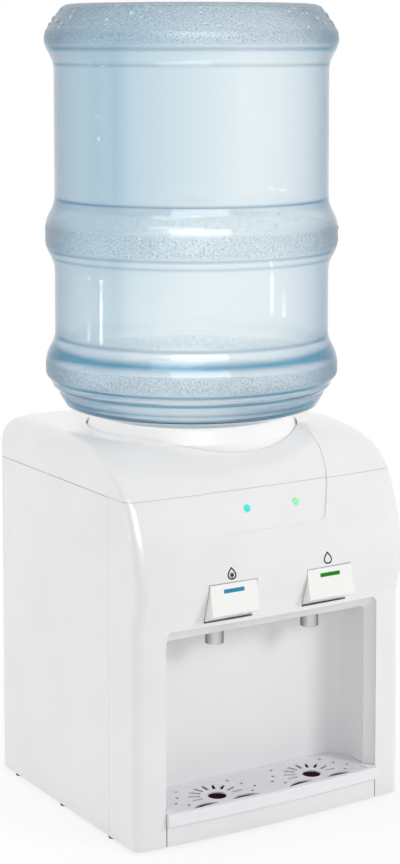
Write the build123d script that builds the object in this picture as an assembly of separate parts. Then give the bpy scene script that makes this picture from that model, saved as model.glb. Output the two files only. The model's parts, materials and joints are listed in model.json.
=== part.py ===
from build123d import *
import os
from math import asin, cos, degrees, radians, sin, sqrt

os.makedirs("parts", exist_ok=True)

# Countertop water dispenser with an inverted bottle, in millimetres.
# X runs to the viewer's right, Y to the back, Z up from the table.

# Cabinet
body_width = 281.0
body_depth = 256.0
body_top = 340.5
foot_height = 2.5
foot_radius = 5.0
foot_inset = 5.8
foot_pitch = 89.5
wall = 3.2
fit_gap = 0.3
seam_gap = 0.25
cover_height = 38.0
fascia_return = 45.0
front_bow = 6.0
front_corner = 10.0
rear_corner = 8.0
rear_strip = 12.0
flange_reach = 14.0
flange_thick = 2.5

# Front profile, from the crown down to the column face
crown_radius = 105.0
brow_radius = 74.0
face_radius = 245.0
crease_radius = 26.0
sweep_radius = 30.0
crown_lean = 62.0
brow_lean = 24.0
face_lean = 9.0
under_lean = 17.0
crease_reach = 8.5
top_side_round = 22.0
top_rear_round = 11.0
crown_corner = 40.0

# Sunken panel on the brow and its indicator lamps
panel_low = 268.5
panel_high = 326.0
panel_low_half = 52.0
panel_high_half = 73.5
panel_corner = 8.0
panel_depth = 1.2
panel_back = 72.0
panel_fade = 1.0
lamp_spread = 25.6
lamp_drop = 15.5
lamp_radius = 3.2
lamp_proud = 0.9
lamp_board_width = 78.0
lamp_board_height = 15.0
board_thick = 1.6
lamp_board_back = 10.0
lamp_post_spread = 34.0
lamp_post_radius = 3.0

# Bottle
bottle_axis_back = 137.0
bottle_radius = 135.0
bottle_height = 490.0
bottle_wall = 1.8
bottle_top = 726.5
base_flat_radius = 118.0
base_bevel = 26.0
base_dimple = 6.0
base_dimple_radius = 96.0
base_band = 11.0
band_slope = 16.5
waist_radius = 126.4
middle_band_mid = 517.0
middle_band = 23.0
shoulder_band_top = 404.5
shoulder_band = 17.0
shoulder_step_count = 3
dome_edge_radius = 117.0
dome_edge_height = 359.5
dome_mid_radius = 62.0
dome_mid_height = 339.0
neck_radius = 27.5
neck_root_height = 306.0
band_fillet = 6.0
cap_wall = 2.4
cap_height = 42.0
cap_sleeve_length = 26.0

# Bottle seat and feed probe
collar_radius = 97.5
collar_top = 350.4
collar_rim_radius = 90.5
collar_straight = 18.5
seat_wall = 3.0
seat_gap = 0.8
ledge_height = 318.0
ledge_thick = 3.0
ledge_inner_radius = 89.0
funnel_drop = 9.0
well_radius = 34.0
well_floor = 225.0
well_top = 296.0
probe_radius = 9.3
probe_wall = 1.8
probe_tip = 285.0
probe_tail = 196.0
probe_flange_radius = 16.0
probe_window = 6.0

# Alcove
mouth_half = 111.5
mouth_top = 190.5
mouth_corner = 6.5
throat_half = 105.0
throat_top = 180.0
throat_corner = 4.0
bevel_depth = 8.0
bevel_start = 0.5
frame_band = 4.5
alcove_depth = 49.0
alcove_corner = 25.0
liner_wall = 2.2
shelf_height = 20.4

# Drip tray and grille
tray_clear = 0.6
tray_top = 32.2
tray_wall = 2.4
tray_front_reach = 4.5
tray_lip_round = 1.6
trim_thick = 2.0
tray_corner = 24.0
grille_thick = 1.2
grille_inset = 2.8
grille_sink = 0.4
grille_ledge = 2.0
drain_hole_radius = 8.5
drain_hole_back = 12.4
ray_inner = 15.0
ray_outer = 26.0
ray_width = 2.8
ray_count = 9
dot_radius = 1.8
leaf_inner = 6.5
leaf_outer = 35.5
leaf_drop = 16.0
leaf_rise = 6.5
apron_gap = 1.3

# Taps
tap_spread = 50.5
paddle_width = 47.6
paddle_gap = 0.6
paddle_top = 228.6
paddle_bottom = 195.3
paddle_skin = 2.2
paddle_proud = 0.5
lip_reach = 19.0
lip_height = 204.5
lip_thick = 2.0
paddle_back = 9.0
slit_gap = 1.5
bar_width = 21.0
bar_height = 3.5
bar_drop = 6.2
bar_depth = 0.8
pin_radius = 1.5
pin_drop = 4.6
pin_behind = 9.5
pin_clear = 0.06
boss_radius = 3.4
ear_thick = 3.0
valve_height = 204.5
valve_radius = 9.0
valve_length = 37.0
valve_front = 3.5
stem_radius = 2.5
stem_clear = 0.08
guide_length = 6.0
outlet_length = 14.0
outlet_radius = 6.0
seat_hole_radius = 4.0
valve_seat_thick = 2.5
inlet_radius = 7.0
plug_length = 4.0
plug_flange = 2.5
seal_thick = 2.0
seal_radius = 5.6
stem_flange_radius = 5.2
stem_flange = 1.5
spring_radius = 4.2
spring_wire = 0.8
contact_gap = 0.3
spout_radius = 8.25
spout_bore = 6.0
spout_drop = 11.5
spout_behind = 17.0
tap_flange_radius = 10.5
tap_flange = 2.2
barb_radius = 4.0
barb_bore = 2.5
barb_length = 16.0

# Reservoir and cooling
tank_half_width = 62.0
tank_half_depth = 50.0
tank_back = 129.5
tank_floor = 68.0
tank_rim = 212.0
tank_wall = 2.5
tank_corner = 18.0
foam = 14.0
lid_thick = 3.0
lid_skirt = 4.0
gasket_thick = 3.0
gasket_width = 3.0
baffle_height = 148.0
baffle_thick = 2.5
baffle_ledge = 2.0
cold_port_height = 92.0
room_port_height = 172.0
port_forward = 23.0
port_reach = 24.0
hose_wall = 1.6
hose_out = 95.0
hose_bend = 12.0
hose_clear = 0.1
stand_leg = 14.0
stand_plate = 3.0
block_half = 25.0
block_height = 120.0
block_stand = 1.0
cooler_half = 20.0
cooler_thick = 3.6
sink_half = 48.0
sink_base = 5.0
fin_height = 22.0
fin_thick = 1.6
fin_count = 13
fan_half = 40.0
fan_depth = 15.0
fan_bore_radius = 38.0
fan_blade_radius = 36.5
fan_hub_radius = 15.0
fan_blades = 7
fan_plate = 3.0
fan_shaft_radius = 1.5
fan_pitch = 40.0
fan_seat = 0.3
vent_slot = 3.6
vent_pitch = 8.0
vent_count = 11
vent_half = 42.0

# Base, power and drain
pan_thick = 3.0
intake_count = 7
intake_slot = 4.0
intake_pitch = 10.0
intake_length = 60.0
supply_side = 34.5
supply_half_width = 22.0
supply_back = 132.0
supply_half_depth = 58.0
supply_height = 12.0
part_height = 30.0
supply_post_radius = 3.0
gland_side = 40.5
gland_height = 40.0
gland_radius = 9.0
gland_bore = 3.6
gland_flange = 3.0
gland_out = 8.0
switch_side = 80.5
switch_height = 40.0
switch_half_width = 14.0
switch_half_height = 10.5
switch_frame = 2.5
switch_depth = 14.0
rocker_angle = 12.0
rocker_clear = 0.5
drain_height = 30.0
drain_radius = 8.0
drain_bore = 4.5
drain_out = 9.0
drain_flange_radius = 13.0
drain_cap_wall = 2.0
drain_clear = 0.3
screw_head_radius = 3.6
screw_head = 2.2
screw_shank_radius = 1.5
screw_rows = 3
screw_clear = 0.1


def sin_d(angle):
    return sin(radians(angle))


def cos_d(angle):
    return cos(radians(angle))


# Frame: the origin is the middle of the whole outline, on the table
column_y = -(bottle_axis_back + bottle_radius - lip_reach) / 2
axis_y = column_y + bottle_axis_back
rear_y = column_y + body_depth
front_mid = column_y - front_bow
half_width = body_width / 2
seam_y = column_y + fascia_return
seam_height = body_top - cover_height
lamp_height = seam_height - lamp_drop
supply_x = half_width - supply_side
gland_x = half_width - gland_side
switch_x = half_width - switch_side


def block(x0, x1, y0, y1, z0, z1):
    middle = Pos((x0 + x1) / 2, (y0 + y1) / 2, (z0 + z1) / 2)
    return middle * Box(abs(x1 - x0), abs(y1 - y0), abs(z1 - z0))


def post(x, y, z0, z1, radius):
    return Pos(x, y, (z0 + z1) / 2) * Cylinder(radius, abs(z1 - z0))


def rod_y(x, z, y0, y1, radius):
    return Pos(x, (y0 + y1) / 2, z) * Rot(90, 0, 0) * Cylinder(radius, abs(y1 - y0))


def rod_x(y, z, x0, x1, radius):
    return Pos((x0 + x1) / 2, y, z) * Rot(0, 90, 0) * Cylinder(radius, abs(x1 - x0))


def turned(points, x=0.0, y=0.0):
    outline = make_face(Polyline([(r, 0, z) for r, z in points], close=True))
    return Pos(x, y, 0) * revolve(outline, Axis.Z)


def turned_y(points, x, z):
    outline = make_face(Polyline([(r, y) for r, y in points], close=True))
    return Pos(x, 0, z) * revolve(outline, Axis.Y)


def side_cut(points, x0, x1):
    outline = make_face(Polyline([(0, y, z) for y, z in points], close=True))
    return Pos(x0, 0, 0) * extrude(outline, x1 - x0, dir=(1, 0, 0))


def rounded_plan(x0, x1, y0, y1, corner, z0, z1):
    middle = Pos((x0 + x1) / 2, (y0 + y1) / 2, z0)
    return extrude(middle * RectangleRounded(x1 - x0, y1 - y0, corner), z1 - z0)


# Front profile as tangent arcs: p is the reach in front of the column face
def lean_arc(start, radius, lean_from, lean_to, side=1):
    points = []
    for share in (0, 0.5, 1):
        lean = lean_from + (lean_to - lean_from) * share
        reach = start[0] + side * radius * (cos_d(lean) - cos_d(lean_from))
        height = start[1] - side * radius * (sin_d(lean_from) - sin_d(lean))
        points.append((reach, height))
    return points


under_length = crease_reach - (sweep_radius + crease_radius) * (1 - cos_d(under_lean))
under_length = under_length / sin_d(under_lean)
crown_reach = crease_reach - crease_radius * (1 - cos_d(face_lean))
crown_reach -= face_radius * (cos_d(face_lean) - cos_d(brow_lean))
crown_reach -= brow_radius * (cos_d(brow_lean) - cos_d(crown_lean))
crown_reach -= crown_radius * cos_d(crown_lean)
crown_arc = lean_arc((crown_reach, body_top), crown_radius, 90, crown_lean)
brow_arc = lean_arc(crown_arc[2], brow_radius, crown_lean, brow_lean)
face_arc = lean_arc(brow_arc[2], face_radius, brow_lean, face_lean)
crease_arc = lean_arc(face_arc[2], crease_radius, face_lean, -under_lean)
under_end = (
    crease_arc[2][0] - under_length * sin_d(under_lean),
    crease_arc[2][1] - under_length * cos_d(under_lean),
)
sweep_arc = lean_arc(under_end, sweep_radius, -under_lean, 0, -1)
brow_foot = sweep_arc[2][1]


def front_reach(z, inset=0.0):
    arcs = (
        (crown_arc, crown_radius, 90, crown_lean),
        (brow_arc, brow_radius, crown_lean, brow_lean),
        (face_arc, face_radius, brow_lean, face_lean),
        (crease_arc, crease_radius, face_lean, -under_lean),
    )
    for arc, radius, lean_from, lean_to in arcs:
        centre_p = arc[0][0] - radius * cos_d(lean_from)
        centre_z = arc[0][1] - radius * sin_d(lean_from)
        size = radius - inset
        if z >= centre_z + size * sin_d(lean_to) - 1e-9:
            return centre_p + sqrt(max(size**2 - (z - centre_z) ** 2, 0.0))
    share = max(0.0, (z - under_end[1]) / (crease_arc[2][1] - under_end[1]))
    return under_end[0] + share * (crease_arc[2][0] - under_end[0])


def bow_at(x):
    radius = (half_width**2 + front_bow**2) / (2 * front_bow)
    return radius - sqrt(radius**2 - x**2)


def front_at(z, x=0.0):
    return front_mid - front_reach(z) + bow_at(x)


def plan(front, side, back, front_round, back_round, z):
    bow = ThreePointArc((-side, front + front_bow, z), (0, front, z), (side, front + front_bow, z))
    right = Line((side, front + front_bow, z), (side, back, z))
    rear = Line((side, back, z), (-side, back, z))
    left = Line((-side, back, z), (-side, front + front_bow, z))
    face = make_face([bow, right, rear, left])
    face = fillet([v for v in face.vertices() if v.Y < back - 1], front_round)
    return fillet([v for v in face.vertices() if v.Y > back - 0.01], back_round)


def profile_edge(points):
    return ThreePointArc(*[(0, front_mid - p, z) for p, z in points])


def profile_path():
    centre_z = brow_arc[0][1] - brow_radius * sin_d(crown_lean)
    seam_lean = degrees(asin((seam_height - centre_z) / brow_radius))
    upper = lean_arc(crown_arc[2], brow_radius, crown_lean, seam_lean)
    lower = lean_arc(upper[2], brow_radius, seam_lean, brow_lean)
    under = Line(
        (0, front_mid - under_end[0], under_end[1]),
        (0, front_mid - crease_arc[2][0], crease_arc[2][1]),
    )
    return Wire([
        profile_edge(sweep_arc[::-1]),
        under,
        profile_edge(crease_arc[::-1]),
        profile_edge(face_arc[::-1]),
        profile_edge(lower[::-1]),
    ])


def lower_form(inset):
    overrun = 2 * crown_corner
    side = half_width - inset
    front = front_mid + inset
    corner = front_corner - inset
    base = plan(front, side, rear_y + overrun, corner, rear_corner, foot_height)
    columns = extrude(base, brow_foot - foot_height, dir=(0, 0, 1))
    start = plan(front, side, rear_y + overrun, corner, rear_corner, brow_foot)
    brow = sweep(start, path=profile_path(), normal=(0, 0, 1))
    back = rounded_plan(
        -side, side, 2 * front_mid, rear_y - inset, rear_corner - inset, foot_height, seam_height
    )
    return (columns + brow) & back


def upper_form(inset):
    top = body_top - inset
    side_round = top_side_round - inset
    rear_round = top_rear_round - inset
    low = seam_height - (2.0 if inset else 0.0)
    heights = [low + (top - side_round - low) * share for share in (0, 0.33, 0.67)]
    heights += [top - side_round * (1 - sin_d(turn)) for turn in (0, 22, 42, 58, 71, 81, 90)]
    faces = []
    for z in heights:
        lift = min(max(0.0, z - top + side_round), side_round)
        side = half_width - inset - side_round + sqrt(side_round**2 - lift**2)
        lift = min(max(0.0, z - top + rear_round), rear_round)
        back = rear_y - inset - rear_round + sqrt(rear_round**2 - lift**2)
        share = max(0.0, z - seam_height) / (body_top - seam_height)
        front_round = front_corner - inset + (crown_corner - front_corner) * share**2
        back_round = rear_corner - inset + (top_rear_round - rear_corner) * share**2
        front = front_mid - front_reach(z, inset)
        if z < seam_height:
            front = front_mid + inset - front_reach(z)
        faces.append(plan(front, side, back, front_round, back_round, z))
    return loft(faces)


lower_outer = lower_form(0.0)
lower_inner = lower_form(wall)
lower_shell = lower_outer - lower_inner
upper_outer = upper_form(0.0)
upper_inner = upper_form(wall)

nodes = {}

# Sunken brow panel, cut as the same form set back into the moulding
panel_slope = (panel_high_half - panel_low_half) / (panel_high - panel_low)
panel_end = body_top - panel_fade
panel_end_half = panel_high_half + panel_slope * (panel_end - panel_high)
panel_face = make_face(
    Polyline(
        [
            (-panel_low_half, 0, panel_low),
            (panel_low_half, 0, panel_low),
            (panel_end_half, 0, panel_end),
            (-panel_end_half, 0, panel_end),
        ],
        close=True,
    )
)
panel_face = fillet([v for v in panel_face.vertices() if v.Z < panel_low + 1], panel_corner)
panel_start = front_mid - crease_reach - wall
panel_prism = Pos(0, panel_start, 0) * extrude(panel_face, fascia_return + panel_back - crown_corner, dir=(0, 1, 0))
lower_panel = panel_prism - Pos(0, panel_depth * 1.45, 0) * lower_outer
upper_panel = panel_prism - Pos(0, panel_depth * 1.45, 0) * upper_outer
lower_panel = lower_panel & block(-body_width, body_width, panel_start, rear_y, 0, seam_height)
upper_panel = upper_panel & block(-body_width, body_width, panel_start, rear_y, seam_height, 2 * body_top)

# Top cover, with the ring that the bottle seat drops into
well_hole_radius = collar_radius + seat_gap
well_wall_radius = well_hole_radius + ledge_thick
well_foot = ledge_height - ledge_thick
cover = upper_outer - upper_inner
cover += post(0, axis_y, well_foot, 2 * body_top, well_wall_radius) & upper_outer
cover -= post(0, axis_y, ledge_height, 2 * body_top, well_hole_radius)
cover -= post(0, axis_y, well_foot - 1, 2 * body_top, ledge_inner_radius)
cover -= upper_panel
cover -= block(-body_width, body_width, 2 * front_mid, 2 * rear_y, 0, seam_height + seam_gap)
nodes["top_cover"] = cover

# Front fascia, with the alcove mouth, the paddle openings and the lamp holes
mouth_y = column_y + bevel_start
throat_y = mouth_y + bevel_depth


def alcove_outline(half, top, corner, y):
    face = make_face(
        Polyline([(-half, y, 0), (half, y, 0), (half, y, top), (-half, y, top)], close=True)
    )
    return fillet([v for v in face.vertices() if v.Z > top - 1], corner)


mouth_face = alcove_outline(mouth_half, mouth_top, mouth_corner, mouth_y)
throat_face = alcove_outline(throat_half, throat_top, throat_corner, throat_y)
mouth_cut = extrude(mouth_face, front_bow + crease_reach + wall, dir=(0, -1, 0))
mouth_cut += loft([mouth_face, throat_face], ruled=True)
mouth_cut += extrude(throat_face, bevel_depth, dir=(0, 1, 0))
pan_top = foot_height + pan_thick
frame = lower_outer & block(
    -mouth_half - frame_band, mouth_half + frame_band, 2 * front_mid, throat_y,
    pan_top + fit_gap, mouth_top + frame_band - slit_gap,
)
fascia = (lower_shell & block(-body_width, body_width, 2 * front_mid, seam_y, 0, seam_height))
fascia = fascia + frame - mouth_cut
slit_bottom = paddle_bottom - slit_gap
opening_half = paddle_width / 2 + paddle_gap
pin_y = front_at(paddle_top, tap_spread) + pin_behind
pin_z = paddle_top - pin_drop
ear_inner = opening_half + fit_gap
for side in (-1, 1):
    x = side * tap_spread
    fascia -= block(
        x - opening_half, x + opening_half, 2 * front_mid, throat_y, slit_bottom, paddle_top + paddle_gap
    )
    for hand in (-1, 1):
        ear = block(
            x + hand * ear_inner, x + hand * (ear_inner + ear_thick),
            front_at(pin_z, tap_spread) + wall / 2, pin_y + boss_radius,
            pin_z - boss_radius, pin_z + boss_radius,
        )
        fascia += ear - rod_x(pin_y, pin_z, x - body_width, x + body_width, pin_radius + pin_clear)
lamp_board_y = front_at(lamp_height) + lamp_board_back
for side in (-1, 1):
    lamp_post = rod_y(
        side * lamp_post_spread, lamp_height, front_at(lamp_height) + wall, lamp_board_y, lamp_post_radius
    )
    fascia += lamp_post - (lower_outer - lower_inner)
    fascia -= rod_y(side * lamp_spread, lamp_height, 2 * front_mid, seam_y, lamp_radius + pin_clear)
fascia -= lower_panel
nodes["front_fascia"] = fascia

# Side panels with a return flange behind the back panel
strip_x = half_width - rear_strip
flange_y = rear_y - wall - fit_gap
screw_x = strip_x - flange_reach / 2
screw_heights = [
    seam_height / 2 + (row - (screw_rows - 1) / 2) * seam_height * 0.42 for row in range(screw_rows)
]
for side, name in ((-1, "side_panel_left"), (1, "side_panel_right")):
    region = block(
        side * strip_x, side * body_width, seam_y + seam_gap, 2 * rear_y, 0, seam_height - seam_gap
    )
    panel = lower_shell & region
    flange = block(
        side * (strip_x - flange_reach), side * (half_width - wall / 2),
        flange_y - flange_thick, flange_y, 3 * pan_top, seam_height - 3 * pan_top,
    )
    panel += flange
    for z in screw_heights:
        panel -= rod_y(side * screw_x, z, flange_y - rear_strip, rear_y + 1, screw_shank_radius + screw_clear)
    nodes[name] = panel

# Back panel with the exhaust slots, the switch, the cord gland and the drain
back_half = strip_x - seam_gap
back_panel = block(-back_half, back_half, rear_y - wall, rear_y, foot_height, seam_height - seam_gap)
for row in range(vent_count):
    z = block_height + (row - (vent_count - 1) / 2) * vent_pitch
    back_panel -= block(
        -vent_half, vent_half, rear_y - 2 * wall, rear_y + wall, z - vent_slot / 2, z + vent_slot / 2
    )
for side in (-1, 1):
    for z in screw_heights:
        back_panel -= rod_y(side * screw_x, z, flange_y, rear_y + 1, screw_shank_radius + screw_clear)
back_panel -= rod_y(gland_x, gland_height, rear_y - 2 * wall, rear_y + wall, gland_radius)
back_panel -= rod_y(0, drain_height, rear_y - 2 * wall, rear_y + wall, drain_radius + drain_clear)
back_panel -= block(
    switch_x - switch_half_width, switch_x + switch_half_width, rear_y - 2 * wall, rear_y + wall,
    switch_height - switch_half_height, switch_height + switch_half_height,
)
nodes["rear_panel"] = back_panel

screws = Part()
for side in (-1, 1):
    for z in screw_heights:
        shank = rod_y(side * screw_x, z, flange_y - flange_thick - screw_head, rear_y, screw_shank_radius)
        head = rod_y(side * screw_x, z, rear_y, rear_y + screw_head, screw_head_radius)
        screws += shank + head
nodes["rear_screws"] = screws

# Base pan with its front apron, air intake and stand-offs for the power board
pan_inset = wall + fit_gap
pan_face = plan(
    front_mid + pan_inset, half_width - pan_inset, rear_y - pan_inset,
    front_corner - pan_inset, rear_corner - pan_inset, foot_height,
)
pan = extrude(pan_face, pan_thick, dir=(0, 0, 1))
apron_half = mouth_half - apron_gap
apron_skin = lower_outer - lower_form(pan_inset + fit_gap)
pan += apron_skin & block(
    -apron_half, apron_half, 2 * front_mid, throat_y, foot_height, shelf_height
)
intake_y = column_y + supply_back
for slot in range(intake_count):
    x = (slot - (intake_count - 1) / 2) * intake_pitch
    pan -= block(
        x - intake_slot / 2, x + intake_slot / 2, intake_y + stand_leg,
        intake_y + stand_leg + intake_length, 0, pan_top + 1,
    )
supply_y = column_y + supply_back
for dx in (-1, 1):
    for dy in (-1, 1):
        pan += post(
            supply_x + dx * (supply_half_width - 2 * supply_post_radius),
            supply_y + dy * (supply_half_depth - 2 * supply_post_radius),
            foot_height, supply_height, supply_post_radius,
        )
nodes["base_pan"] = pan

feet = Part()
for side in (-1, 1):
    for step in (-1, 0, 1):
        y = axis_y + step * foot_pitch
        feet += post(side * (half_width - foot_inset), y, 0, foot_height, foot_radius)
nodes["rubber_feet"] = feet

# Alcove liner
alcove_back = throat_y - bevel_depth + alcove_depth
liner_front = throat_y + fit_gap
liner_top = throat_top + liner_wall
shelf_foot = shelf_height - liner_wall


def alcove_block(half, back, corner, z0, z1):
    deep = rounded_plan(-half, half, back - 4 * corner, back, corner, z0, z1)
    return deep & block(-half, half, liner_front, back, z0, z1)


liner = alcove_block(
    throat_half + liner_wall, alcove_back + liner_wall, alcove_corner + liner_wall, shelf_foot, liner_top
)
liner -= alcove_block(throat_half, alcove_back, alcove_corner, shelf_height, throat_top)
spout_y = column_y + spout_behind
for side in (-1, 1):
    liner -= post(side * tap_spread, spout_y, throat_top - 1, liner_top + 1, spout_radius + fit_gap)
nodes["alcove_liner"] = liner

# Drip tray and its lift-out grille
tray_half = throat_half - tray_clear
tray_back = alcove_back - tray_clear
tray_foot = shelf_height + fit_gap
tray_wing = mouth_half - tray_clear
flare_y = throat_y - tray_clear
knee_y = flare_y - bevel_depth


trim_front = front_mid - tray_front_reach


def tray_plan(inset, z):
    half = tray_half - inset
    back = tray_back - inset
    front = trim_front + trim_thick + inset
    ends = front + bow_at(half)
    bow = ThreePointArc((-half, ends, z), (0, front, z), (half, ends, z))
    lines = Polyline((half, ends, z), (half, back, z), (-half, back, z), (-half, ends, z))
    face = make_face([bow, *lines.edges()])
    return fillet([v for v in face.vertices() if v.Y > back - 1], tray_corner - inset)


tray = extrude(tray_plan(0.0, tray_foot), tray_top - tray_foot, dir=(0, 0, 1))
tray -= extrude(
    tray_plan(tray_wall + grille_ledge, tray_foot + tray_wall), tray_top, dir=(0, 0, 1)
)
grille_top = tray_top - grille_sink
grille_foot = grille_top - grille_thick
tray -= extrude(tray_plan(grille_inset - fit_gap, grille_foot), tray_top, dir=(0, 0, 1))
nodes["drip_tray"] = tray

# Front trim of the tray: a bowed strip whose ends fill the bevel of the alcove's mouth
wing_ends = trim_front + bow_at(tray_wing)
inner_mid = trim_front + trim_thick
inner_ends = inner_mid + bow_at(tray_half)
trim_outer = ThreePointArc(
    (-tray_wing, wing_ends, tray_foot), (0, trim_front, tray_foot), (tray_wing, wing_ends, tray_foot)
)
trim_inner = ThreePointArc(
    (-tray_half, inner_ends, tray_foot), (0, inner_mid, tray_foot), (tray_half, inner_ends, tray_foot)
)
trim_edges = [trim_outer, trim_inner]
for side in (-1, 1):
    trim_edges += Polyline(
        (side * tray_wing, wing_ends, tray_foot), (side * tray_wing, knee_y, tray_foot),
        (side * tray_half, flare_y, tray_foot), (side * tray_half, inner_ends, tray_foot),
    ).edges()
trim = extrude(make_face(trim_edges), tray_top - tray_foot, dir=(0, 0, 1))
trim_arcs = [e for e in trim.edges().filter_by(GeomType.CIRCLE) if e.center().Y < trim_front + trim_thick / 2]
nodes["tray_trim"] = fillet(trim_arcs, tray_lip_round)

grille = extrude(tray_plan(grille_inset, grille_foot), grille_thick, dir=(0, 0, 1))
hole_y = column_y + drain_hole_back


def slot_between(a, b, width):
    length = sqrt((b[0] - a[0]) ** 2 + (b[1] - a[1]) ** 2)
    turn = degrees(asin((b[1] - a[1]) / length))
    turn = turn if b[0] >= a[0] else 180 - turn
    return Pos((a[0] + b[0]) / 2, (a[1] + b[1]) / 2) * Rot(0, 0, turn) * SlotOverall(length, width)


cuts = Sketch()
for side in (-1, 1):
    cx = side * tap_spread
    cuts += Pos(cx, hole_y) * Circle(drain_hole_radius)
    for ray in range(ray_count):
        turn = 180 * ray / (ray_count - 1)
        start = (cx + ray_inner * cos_d(turn), hole_y + ray_inner * sin_d(turn))
        end = (cx + ray_outer * cos_d(turn), hole_y + ray_outer * sin_d(turn))
        cuts += slot_between(start, end, ray_width)
    for hand in (-1, 1):
        for reach, turn in ((1.44, 44), (1.38, 21), (1.58, 3.5), (1.29, -10.5)):
            dot_r = ray_outer * reach
            dot_x = cx + hand * dot_r * cos_d(turn)
            cuts += Pos(dot_x, hole_y + dot_r * sin_d(turn)) * Circle(dot_radius)
        tip = (cx + hand * leaf_inner, hole_y - leaf_drop + 1)
        end = (cx + hand * leaf_outer, hole_y - leaf_drop - 1)
        mid_x = (tip[0] + end[0]) / 2
        upper = ThreePointArc(tip, (mid_x, hole_y - leaf_drop + leaf_rise), end)
        lower = ThreePointArc(end, (mid_x, hole_y - leaf_drop + leaf_rise / 8), tip)
        cuts += make_face([upper, lower])
grille -= Pos(0, 0, grille_foot - 1) * extrude(cuts, grille_thick + 2, dir=(0, 0, 1))
nodes["drip_grille"] = grille

# Paddles, hinge pins, colour bars and the valves behind them
paddle_face_y = front_at(paddle_top, tap_spread) - paddle_proud
lip_y = column_y - lip_reach
back_y = front_at(paddle_top, tap_spread) + paddle_back
bar_top = paddle_top - bar_drop + bar_height / 2
valve_y = throat_y - valve_front - bevel_start
valve_end = valve_y + valve_length
guide_end = valve_y + guide_length
outlet_end = guide_end + outlet_length
valve_seat_y = outlet_end + valve_seat_thick
push_y = back_y + 2.0
for side, name in ((-1, "cold"), (1, "room")):
    x = side * tap_spread
    half = paddle_width / 2
    flare = ThreePointArc(
        (0, paddle_face_y, paddle_top),
        (0, paddle_face_y + (lip_y - paddle_face_y) * 0.36, (paddle_top + lip_height) / 2),
        (0, lip_y, lip_height),
    )
    shell_line = Polyline(
        (0, lip_y, lip_height), (0, lip_y + 0.5, lip_height - lip_thick), (0, back_y, paddle_bottom),
        (0, back_y, paddle_top), (0, paddle_face_y, paddle_top),
    )
    outline = make_face([flare, *shell_line.edges()])
    solid = Pos(x - half, 0, 0) * extrude(outline, paddle_width, dir=(1, 0, 0))
    solid += rod_x(pin_y, pin_z, x - half, x + half, boss_radius)
    pocket_top = pin_z - boss_radius - 1
    solid -= side_cut(
        [
            (back_y + 1, paddle_bottom + paddle_skin), (back_y, paddle_bottom + paddle_skin),
            (lip_y + 1.4 * paddle_skin, lip_height - 0.4),
            (paddle_face_y + paddle_skin, pocket_top), (back_y + 1, pocket_top),
        ],
        x - half + paddle_skin, x + half - paddle_skin,
    )
    rib = block(
        x - stem_radius, x + stem_radius, lip_y + 1.2 * paddle_skin, push_y,
        valve_height - stem_radius / 2, valve_height + stem_radius / 2,
    )
    solid += rib
    solid -= rod_x(pin_y, pin_z, x - body_width, x + body_width, pin_radius + pin_clear)
    bar_zone = block(
        x - bar_width / 2, x + bar_width / 2, 2 * front_mid, paddle_face_y + bar_depth,
        bar_top - bar_height, bar_top,
    )
    nodes[name + "_bar"] = solid & bar_zone
    nodes[name + "_paddle"] = solid - bar_zone
    pin_end = ear_inner + ear_thick
    nodes[name + "_hinge_pin"] = rod_x(pin_y, pin_z, x - pin_end, x + pin_end, pin_radius)

    body = rod_y(x, valve_height, valve_y, valve_end, valve_radius)
    body += post(x, spout_y, liner_top, valve_height, inlet_radius)
    tap_foot = post(x, spout_y, liner_top, liner_top + tap_flange, tap_flange_radius)
    body += tap_foot - block(x - body_width, x + body_width, 2 * front_mid, throat_y + fit_gap, 0, body_top)
    inlet_y = (valve_seat_y + valve_end - plug_length) / 2
    body += rod_x(inlet_y, valve_height, x, x + side * (valve_radius + barb_length), barb_radius)
    body -= turned_y(
        [
            (0, valve_y - 1), (stem_radius + stem_clear, valve_y - 1),
            (stem_radius + stem_clear, guide_end), (outlet_radius, guide_end),
            (outlet_radius, outlet_end), (seat_hole_radius, outlet_end),
            (seat_hole_radius, valve_seat_y), (inlet_radius, valve_seat_y),
            (inlet_radius, valve_end + 1), (0, valve_end + 1),
        ],
        x, valve_height,
    )
    body -= post(x, spout_y, liner_top - 1, valve_height, outlet_radius - 1)
    body -= rod_x(inlet_y, valve_height, x, x + side * 2 * tap_spread, barb_bore)
    nodes[name + "_valve_body"] = body

    plug = rod_y(x, valve_height, valve_end - plug_length, valve_end, inlet_radius - hose_clear)
    plug += rod_y(x, valve_height, valve_end, valve_end + plug_flange, valve_radius)
    nodes[name + "_valve_plug"] = plug

    seal_y = valve_seat_y + hose_clear
    flange_foot = seal_y + seal_thick
    flange_end = flange_foot + stem_flange
    stem = rod_y(x, valve_height, push_y + contact_gap, flange_end + stem_flange, stem_radius)
    stem += rod_y(x, valve_height, flange_foot, flange_end, stem_flange_radius)
    nodes[name + "_stem"] = stem
    seal = rod_y(x, valve_height, seal_y, flange_foot, seal_radius)
    nodes[name + "_seal"] = seal - rod_y(x, valve_height, seal_y - 1, flange_foot + 1, stem_radius)

    spring_end = valve_end - plug_length
    spring = rod_y(x, valve_height, flange_end, spring_end, spring_radius + spring_wire / 2)
    spring -= rod_y(x, valve_height, flange_end - 1, spring_end + 1, spring_radius - spring_wire / 2)
    nodes[name + "_spring"] = spring

    spout_end = throat_top - spout_drop
    spout = post(x, spout_y, spout_end, liner_top, spout_radius)
    spout -= post(x, spout_y, spout_end - 1, liner_top + 1, spout_bore)
    nodes[name + "_spout"] = spout

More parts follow.
